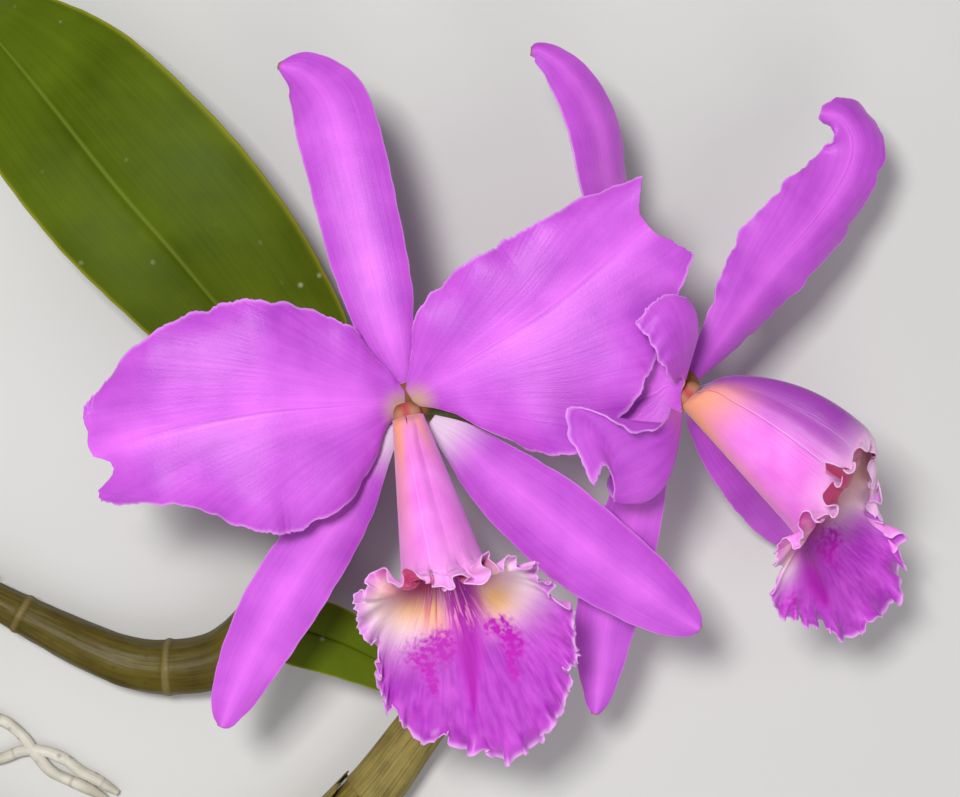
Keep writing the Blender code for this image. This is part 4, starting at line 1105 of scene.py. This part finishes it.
class CATTLEYA_OT_leaves(bpy.types.Operator):
    """Make the strap leaf and the small leaf"""

    bl_idname = "cattleya.leaves"
    bl_label = "Leaves"

    def execute(self, context):
        skin = leaf_skin("Waxy leaf skin", context.scene.cattleya_growth.leaf_colour[:])
        channel = ((10.0, -12.0, -6.0),) * 2
        for number, (name, stations) in enumerate((("leaf_1", LEAF_1), ("leaf_2", LEAF_2))):
            points, lengthwise, across = blade_points(
                stations, (150, 60), channel, (0.8, 1.6, 0.0, 0.0), edge=(0.12, 0.04), seed=50 + number,
            )
            margin = np.abs(across)
            keel = 0.7 * np.exp(-(margin / 0.05) ** 2) * smooth_step(0.03, 0.2, lengthwise)
            points[..., 2] = points[..., 2] - keel * (1.0 - smooth_step(0.7, 0.95, lengthwise))
            masks = {
                # On a leaf this mask is only the pale midrib line, its own colour.
                "middle_tint_and_light": 0.5 * np.exp(-(margin / 0.018) ** 2) * smooth_step(0.05, 0.3, lengthwise),
                "rim": 0.8 * smooth_step(0.94, 1.0, margin),
                "nip": 0.8 * smooth_step(0.985, 1.0, lengthwise),
            }
            flat = ((across + 1.0) / 2.0, lengthwise)
            made = thick_sheet(name + "_blade", points, wall_of(across, LEAF_WALL), flat, masks)
            finish_piece(made, skin, "leaf", name)
        return {"FINISHED"}


def smooth_line(stations, count):
    """Dense points with radii through a table of stations."""
    return along(stations, np.linspace(0.0, 1.0, count + 1))[:, :4]


def cane_tree():
    """A node tree that turns paths with radii into canes with joints and rough skin."""
    tree = bpy.data.node_groups.new("Cane along a path", "GeometryNodeTree")
    kinds = {"Geometry": "Geometry", "Sides": "Int", "Grooves": "Int", "Material": "Material"}
    for name in ("Geometry", *CANE_SIZES, "Material"):
        kind = "NodeSocket" + kinds.get(name, "Float")
        tree.interface.new_socket(name=name, in_out="INPUT", socket_type=kind)
    tree.interface.new_socket(name="Geometry", in_out="OUTPUT", socket_type="NodeSocketGeometry")
    add = partial(add_node, tree)
    given = add("NodeGroupInput", pick=None).outputs
    radius = add("GeometryNodeInputNamedAttribute", Name="radius_here", data_type="FLOAT")
    path = add("GeometryNodeMeshToCurve", given["Geometry"])
    path = add("GeometryNodeSetCurveRadius", path, Radius=radius)
    path = add("GeometryNodeResampleCurve", path, Length=given["Step"], mode="LENGTH")
    ring = add("GeometryNodeCurvePrimitiveCircle", given["Sides"], Radius=1.0)
    kept = []
    for shape, measure in ((path, "Length"), (ring, "Factor")):
        keeper = add("GeometryNodeCaptureAttribute", shape, pick=None)
        keeper.capture_items.new("FLOAT", measure)
        tree.links.new(add("GeometryNodeSplineParameter", pick=measure), keeper.inputs[1])
        kept += keeper.outputs[:2]
    path, reach, ring, turn = kept
    skin = add("GeometryNodeCurveToMesh", path, ring, add("GeometryNodeInputRadius"), True)

    # Joints swell where the reach is near a whole number of spacings
    spacing = given["Joint spacing"]
    away = reach
    for other, operation in (
        (spacing, "DIVIDE"), (0.5, "ADD"), (0.0, "FRACT"), (0.5, "SUBTRACT"), (0.0, "ABSOLUTE"),
        (spacing, "MULTIPLY"),
    ):
        away = add("Math", away, other, operation=operation)
    near = add("MapRange", away, 0.0, given["Joint width"], 1.0, 0.0, interpolation_type="SMOOTHSTEP")
    height = add("Math", near, given["Joint swelling"], operation="MULTIPLY")

    # Grooves run lengthwise and sway a little
    spot = add("GeometryNodeInputPosition")
    sway = add("TexNoise", spot, 60.0, 2.0)
    wave = add("Math", turn, 2.0 * math.pi, operation="MULTIPLY")
    wave = add("Math", wave, given["Grooves"], operation="MULTIPLY")
    wave = add("Math", sway, 9.0, wave, operation="MULTIPLY_ADD")
    for other, operation in ((0.0, "COSINE"), (1.0, "SUBTRACT"), (given["Groove depth"], "MULTIPLY")):
        wave = add("Math", wave, other, operation=operation)
    rough = add("TexNoise", spot, add("Math", 1.0, given["Skin size"], operation="DIVIDE"), 3.0)
    rough = add("Math", rough, 0.5, operation="SUBTRACT")
    rough = add("Math", rough, given["Skin height"], operation="MULTIPLY")
    for relief in (wave, rough):
        height = add("Math", height, relief, operation="ADD")
    offset = add("VectorMath", add("GeometryNodeInputNormal"), height, operation="SCALE")
    skin = add("GeometryNodeSetPosition", skin, Offset=offset)
    for name, value in (("along_cane", reach), ("around_cane", turn), ("at_joint", near)):
        skin = add(
            "GeometryNodeStoreNamedAttribute", skin, Name=name, Value=value, data_type="FLOAT",
            domain="POINT",
        )
    skin = add("GeometryNodeSetShadeSmooth", skin)
    skin = add("GeometryNodeRealizeInstances", skin)
    skin = add("GeometryNodeSetMaterial", skin, Material=given["Material"])
    add("NodeGroupOutput", skin, pick=None)
    return tree


def make_cane(name, lines, sizes, skin, slot, node):
    """A cane, stalk or root along its paths, as a finished piece that is a plain mesh.

    sizes are those that CANE_SIZES names, in millimetres except for the counts.
    """
    points = np.concatenate(lines)
    places = (points[:, :3] - FOOTPRINT_MIDDLE) * MM
    starts = np.cumsum([len(line) for line in lines])
    edges = [(index, index + 1) for index in range(len(points) - 1) if index + 1 not in starts]
    made = add_mesh(name, places, edges, [], {"radius_here": points[:, 3] * MM})
    modifier = made.modifiers.new("Growth", "NODES")
    modifier.node_group = cane_tree()
    given = dict(zip(CANE_SIZES, sizes), Material=skin)
    for item in modifier.node_group.interface.items_tree:
        if item.in_out == "INPUT" and item.name in given:
            value = given[item.name]
            modifier[item.identifier] = value * MM if isinstance(value, float) else value
    bpy.context.view_layer.update()
    mesh = bpy.data.meshes.new_from_object(made.evaluated_get(bpy.context.evaluated_depsgraph_get()))
    made.modifiers.clear()
    made.data = mesh
    for vertex in mesh.vertices:
        vertex.co.z = max(vertex.co.z, LEAST_HEIGHT)
    mesh.update()
    finish_piece(made, skin, slot, node)


def cane_skin(name, roughness, field, light, mark, joint, streak, speck):
    """Skin of a cane or root, with streaks lengthwise, specks and darker joints.

    streak is how strongly the lengthwise streaks show and speck how many spots do.
    Streaks are about 1 mm apart and specks 0.5 to 1.5 mm across.
    """
    made, add = new_material(name, roughness, Specular_IOR_Level=0.22)
    place = add("TexCoord", pick="Object")
    reach, turn, at_joint = (
        add("Attribute", pick="Fac", attribute_name=key) for key in ("along_cane", "around_cane", "at_joint")
    )
    turn = add("Math", turn, 2.0 * math.pi, operation="MULTIPLY")
    round_it = [add("Math", turn, operation=operation) for operation in ("COSINE", "SINE")]
    rows = add("VectorMath", add("CombineXYZ", *round_it), 9.0, operation="SCALE")
    reach = add("Math", reach, 60.0, operation="MULTIPLY")
    rows = add("VectorMath", rows, add("CombineXYZ", Z=reach), operation="ADD")
    lines = add("TexNoise", rows, 1.0, 4.0)
    cloud = add("TexNoise", place, 90.0, 4.0)
    shade = add("Mix", streak, cloud, lines, data_type="FLOAT")
    shade = add("MapRange", shade, 0.35, 0.65)
    dots = add("MapRange", add("TexVoronoi", place, 260.0), 0.1, 0.28, speck, 0.0)
    dots = add("Math", dots, add("MapRange", cloud, 0.45, 0.6), operation="MULTIPLY")
    rings = add("Math", at_joint, cloud, operation="MULTIPLY")
    rings = add("MapRange", rings, 0.1, 0.45)
    paint = add("Mix", shade, field, hex_colour(light), data_type="RGBA")
    paint = add("Mix", dots, paint, hex_colour(mark), data_type="RGBA")
    paint = add("Mix", rings, paint, hex_colour(joint), data_type="RGBA")
    return finish_material(made, paint, Height=lines, Strength=0.4, Distance=0.0004)


def papery_husk(name, field, light):
    """Dry papery husk: dead leaf sheath with raised parallel fibres and torn edges.

    It is matt and thin, and its fibres are drawn about 0.8 mm apart.
    """
    made, add = new_material(name, 0.68, Specular_IOR_Level=0.3)
    rows = add("VectorMath", add("UVMap", uv_map="blade"), (44.0, 2.0, 1.0), operation="MULTIPLY")
    fibres = add("TexNoise", rows, 1.0, 4.0)
    cloud = add("TexNoise", add("TexCoord", pick="Object"), 120.0, 4.0)
    shade = add("Math", cloud, 0.6, fibres, operation="MULTIPLY_ADD")
    shade = add("MapRange", shade, 0.55, 1.05)
    paint = add("Mix", shade, hex_colour(field), hex_colour(light), data_type="RGBA")
    return finish_material(made, paint, Height=fibres, Strength=0.6, Distance=0.0006)


def make_husk(name, stations, span, arc, lift, seed, paper, slot):
    """A dry husk that clasps a cane between two places, over part of its round."""
    up = np.linspace(0.0, 1.0, 45)
    values = along(stations, span[0] + (span[1] - span[0]) * up)
    frames = frames_along(stations, span[0] + (span[1] - span[0]) * up)
    tangent, side, normal = (way[:, None] for way in frames)
    spread, up = np.meshgrid(np.linspace(0.0, 1.0, 61), up)
    angle = np.radians(arc[0] + (arc[1] - arc[0]) * spread)
    across = 2.0 * spread - 1.0
    shift = random.Random(seed).random() * 6.0
    away = lift[0] + (lift[1] - lift[0]) * up ** 2 + 0.5 * np.abs(across) ** 4
    away = values[:, 3:4] + away + 0.25 * np.sin(spread * 17.0 + shift) * up
    ring = side * np.cos(angle)[..., None] + normal * np.sin(angle)[..., None]
    torn = edge_waves(60.0 * spread[0], seed, 2.4, 2.2) * 1.4 - 6.0 * across[0] ** 2
    points = values[:, None, :3] + ring * away[..., None]
    points = points + tangent * (torn * smooth_step(0.4, 1.0, up))[..., None]
    if span[1] < span[0]:
        points = points[:, ::-1]
    made = thick_sheet(name, points, wall_of(across, HUSK_WALL), ((across + 1.0) / 2.0, up), {})
    finish_piece(made, paper, slot)


class CATTLEYA_OT_stalk(bpy.types.Operator):
    """Make the flower stalk and the sheath at its foot"""

    bl_idname = "cattleya.stalk"
    bl_label = "Flower stalk"

    def execute(self, context):
        skin = cane_skin(
            "Satin stalk skin", 0.42, hex_colour("56682A"), "7F8F3E", "6B4A3A", "8C7A45", 0.6, 0.35,
        )
        lines = [smooth_line(stations, 60) for stations in (PEDUNCLE, PEDICEL_1, PEDICEL_2)]
        sizes = (0.7, 28, 21.0, 0.35, 1.6, 6, 0.08, 0.25, 3.0)
        make_cane("flower_stalk_skin", lines, sizes, skin, "stem", "flower_stalk")
        paper = papery_husk("Dry stalk sheath", "7B7236", "B7AC68")
        points, lengthwise, across = blade_points(
            SHEATH, (60, 40), ((0.0, -90.0, 0.0),) * 2, (0.2, 2.0, 0.0, 0.0), edge=(0.3, 0.3), seed=71,
        )
        flat = ((across + 1.0) / 2.0, lengthwise)
        made = thick_sheet("stalk_sheath_paper", points, wall_of(across, SHEATH_WALL), flat, {})
        finish_piece(made, paper, "sheath", "stalk_sheath")
        return {"FINISHED"}


class CATTLEYA_OT_pseudobulbs(bpy.types.Operator):
    """Make the two pseudobulbs with their joints and husks"""

    bl_idname = "cattleya.pseudobulbs"
    bl_label = "Pseudobulbs"

    def execute(self, context):
        growth = context.scene.cattleya_growth
        green = cane_skin(
            "Waxy green cane skin", 0.45, growth.cane_colour[:], "5E5214", "3E2F16", "6F6136", 0.45, 0.55,
        )
        brown = cane_skin(
            "Weathered cane husk", 0.62, hex_colour("57491A"), "8A7834", "3A2917", "4C3820", 0.85, 0.4,
        )
        spacing = growth.joint_spacing / MM
        sizes = (0.9, 56, spacing, 0.5, 1.8, 7, 0.16, 0.4, 9.0)
        lines = [smooth_line(PSEUDOBULB_1, 150)]
        make_cane("pseudobulb_1_skin", lines, sizes, green, "green_pseudobulb", "pseudobulb_1")
        sizes = (0.9, 64, spacing, 0.6, 2.2, 13, 0.32, 0.6, 4.0)
        lines = [smooth_line(PSEUDOBULB_2, 150)]
        make_cane("pseudobulb_2_skin", lines, sizes, brown, "old_pseudobulb", "pseudobulb_2")
        paper = papery_husk("Papery cane husk", "5C4E20", "9A8A48")
        husks = (
            (PSEUDOBULB_1, (0.97, 0.86), (-10.0, 215.0), (0.4, 1.1)),
            (PSEUDOBULB_2, (0.95, 0.66), (-30.0, 200.0), (0.5, 1.3)),
            (PSEUDOBULB_2, (0.62, 0.3), (-35.0, 190.0), (0.5, 1.5)),
            (PSEUDOBULB_2, (0.27, 0.06), (10.0, 205.0), (0.4, 1.2)),
        )
        for number, husk in enumerate(husks):
            make_husk("husk_%d" % (number + 1), *husk, 80 + number, paper, "old_pseudobulb")
        return {"FINISHED"}


def root_lines():
    """Paths of the roots: they drop from the rhizome to the surface and wander there."""
    wander = random.Random(7)
    lines = []
    for (x, y), heading, length in ROOTS:
        stations = [(x, y, ROOT_START_HEIGHT, ROOT_RADIUS * 1.1)]
        angle = math.radians(heading)
        for step in range(int(length / ROOT_STEP)):
            angle = angle + math.radians(wander.uniform(-ROOT_WANDER, ROOT_WANDER))
            x = x + math.cos(angle) * ROOT_STEP
            y = y + math.sin(angle) * ROOT_STEP
            drop = float(smooth_step(0.0, 3.0, step + 1.0))
            height = ROOT_START_HEIGHT + (ROOT_REST_HEIGHT - ROOT_START_HEIGHT) * drop
            stations.append((x, y, height, ROOT_RADIUS))
        stations[-1] = (*stations[-1][:3], ROOT_RADIUS * 0.55)
        lines.append(smooth_line(stations, 90))
    return lines


class CATTLEYA_OT_rhizome(bpy.types.Operator):
    """Make the rhizome with its scales, and the roots"""

    bl_idname = "cattleya.rhizome"
    bl_label = "Rhizome and roots"

    def execute(self, context):
        bark = cane_skin(
            "Dry rhizome skin", 0.75, hex_colour("5E4F35"), "9A8A62", "33281A", "3F3322", 0.6, 0.5,
        )
        velamen = cane_skin(
            "Spongy root skin", 0.85, hex_colour("A9A391"), "D8D4C6", "6E6A4C", "B5AF9C", 0.4, 0.5,
        )
        sizes = (0.8, 48, 13.5, 0.7, 1.8, 10, 0.22, 0.9, 5.0)
        make_cane("rhizome_skin", [smooth_line(RHIZOME, 120)], sizes, bark, "root", "rhizome")
        sizes = (0.8, 18, 30.0, 0.0, 1.0, 3, 0.05, 0.7, 5.0)
        make_cane("roots_skin", root_lines(), sizes, velamen, "root", "rhizome")
        paper = papery_husk("Rhizome scales", "6B5736", "A8946A")
        for number in range(5):
            start = 0.14 + 0.16 * number
            make_husk(
                "rhizome_scale_%d" % (number + 1), RHIZOME, (start, start + 0.13),
                (-20.0 + 9.0 * number, 200.0 - 8.0 * number), (0.3, 1.6), 90 + number, paper, "root",
            )
        return {"FINISHED"}


class CATTLEYA_OT_stage(bpy.types.Operator):
    """Make the plain floor, the soft lights and the camera"""

    bl_idname = "cattleya.stage"
    bl_label = "Stage"

    def execute(self, context):
        stage = context.scene.cattleya_stage
        corners = [(across, up, 0.0) for across, up in ((-3.0, -3.0), (3.0, -3.0), (3.0, 3.0), (-3.0, 3.0))]
        floor = add_mesh("floor", corners, [], [(0, 1, 2, 3)], {})
        paint, add = new_material("Matt pale board", 0.85)
        grain = add("TexNoise", add("TexCoord", pick="Object"), 6.0)
        grain = add("MapRange", grain, 0.3, 0.7, 0.97, 1.0)
        colour = add("Mix", 1.0, stage.floor_colour[:], grain, data_type="RGBA", blend_type="MULTIPLY")
        floor.data.materials.append(finish_material(paint, colour))
        self.add_light("key_light", (-0.14, 0.2, 0.95), stage.key_power, 0.2)
        self.add_light("fill_light", (0.4, -0.6, 0.8), stage.key_power * 0.4, 0.7)
        self.add_light("rim_light", (-0.7, -0.4, 0.5), stage.key_power * 0.12, 0.5)
        world = bpy.data.worlds.new("soft_room")
        world.use_nodes = True
        sky = world.node_tree.nodes["Background"]
        sky.inputs["Color"].default_value = (0.9, 0.92, 1.0, 1.0)
        sky.inputs["Strength"].default_value = 0.3
        context.scene.world = world
        camera = bpy.data.cameras.new("camera")
        camera.sensor_width = 36.0
        camera.lens = camera.sensor_width * CAMERA_DISTANCE / FRAME_WIDTH
        camera.clip_start = 0.01
        camera.clip_end = 20.0
        seen = bpy.data.objects.new("camera", camera)
        seen.location = (-FOOTPRINT_MIDDLE[0] * MM, -FOOTPRINT_MIDDLE[1] * MM, CAMERA_HEIGHT)
        context.scene.collection.objects.link(seen)
        context.scene.camera = seen
        context.scene.view_settings.view_transform = "Standard"
        return {"FINISHED"}

    def add_light(self, name, place, power, size):
        """A soft square light that faces the blooms."""
        light = bpy.data.lights.new(name, "AREA")
        light.energy = power
        light.size = size
        made = bpy.data.objects.new(name, light)
        made.location = place
        x, y, z = np.subtract(LIGHT_TARGET, place)
        made.rotation_euler = (math.atan2(math.hypot(x, y), -z), 0.0, math.atan2(y, x) - math.pi / 2.0)
        bpy.context.scene.collection.objects.link(made)


class CATTLEYA_PT_panel(bpy.types.Panel):
    """The steps and settings of the orchid, in the sidebar"""

    bl_idname = "CATTLEYA_PT_panel"
    bl_label = "Cattleya Orchid"
    bl_space_type = "VIEW_3D"
    bl_region_type = "UI"
    bl_category = "Orchid"

    def draw(self, context):
        layout = self.layout
        for step in STEPS:
            layout.operator(step.bl_idname)
        for group in ("cattleya_bloom", "cattleya_growth", "cattleya_stage"):
            settings = getattr(context.scene, group)
            box = layout.box()
            for key in settings.bl_rna.properties.keys():
                if key not in ("rna_type", "name"):
                    box.prop(settings, key)


STEPS = (
    CATTLEYA_OT_stage,
    CATTLEYA_OT_sepals,
    CATTLEYA_OT_petals,
    CATTLEYA_OT_lips,
    CATTLEYA_OT_columns,
    CATTLEYA_OT_stalk,
    CATTLEYA_OT_leaves,
    CATTLEYA_OT_pseudobulbs,
    CATTLEYA_OT_rhizome,
)
GROUPS = (CattleyaBloomSettings, CattleyaGrowthSettings, CattleyaStageSettings)
CLASSES = GROUPS + STEPS + (CATTLEYA_PT_panel,)


def register():
    for item in CLASSES:
        bpy.utils.register_class(item)
    bpy.types.Scene.cattleya_bloom = bpy.props.PointerProperty(type=CattleyaBloomSettings)
    bpy.types.Scene.cattleya_growth = bpy.props.PointerProperty(type=CattleyaGrowthSettings)
    bpy.types.Scene.cattleya_stage = bpy.props.PointerProperty(type=CattleyaStageSettings)


def unregister():
    del bpy.types.Scene.cattleya_stage
    del bpy.types.Scene.cattleya_growth
    del bpy.types.Scene.cattleya_bloom
    for item in reversed(CLASSES):
        bpy.utils.unregister_class(item)


def main():
    register()
    for step in STEPS:
        group, action = step.bl_idname.split(".")
        getattr(getattr(bpy.ops, group), action)()


if __name__ == "__main__":
    main()
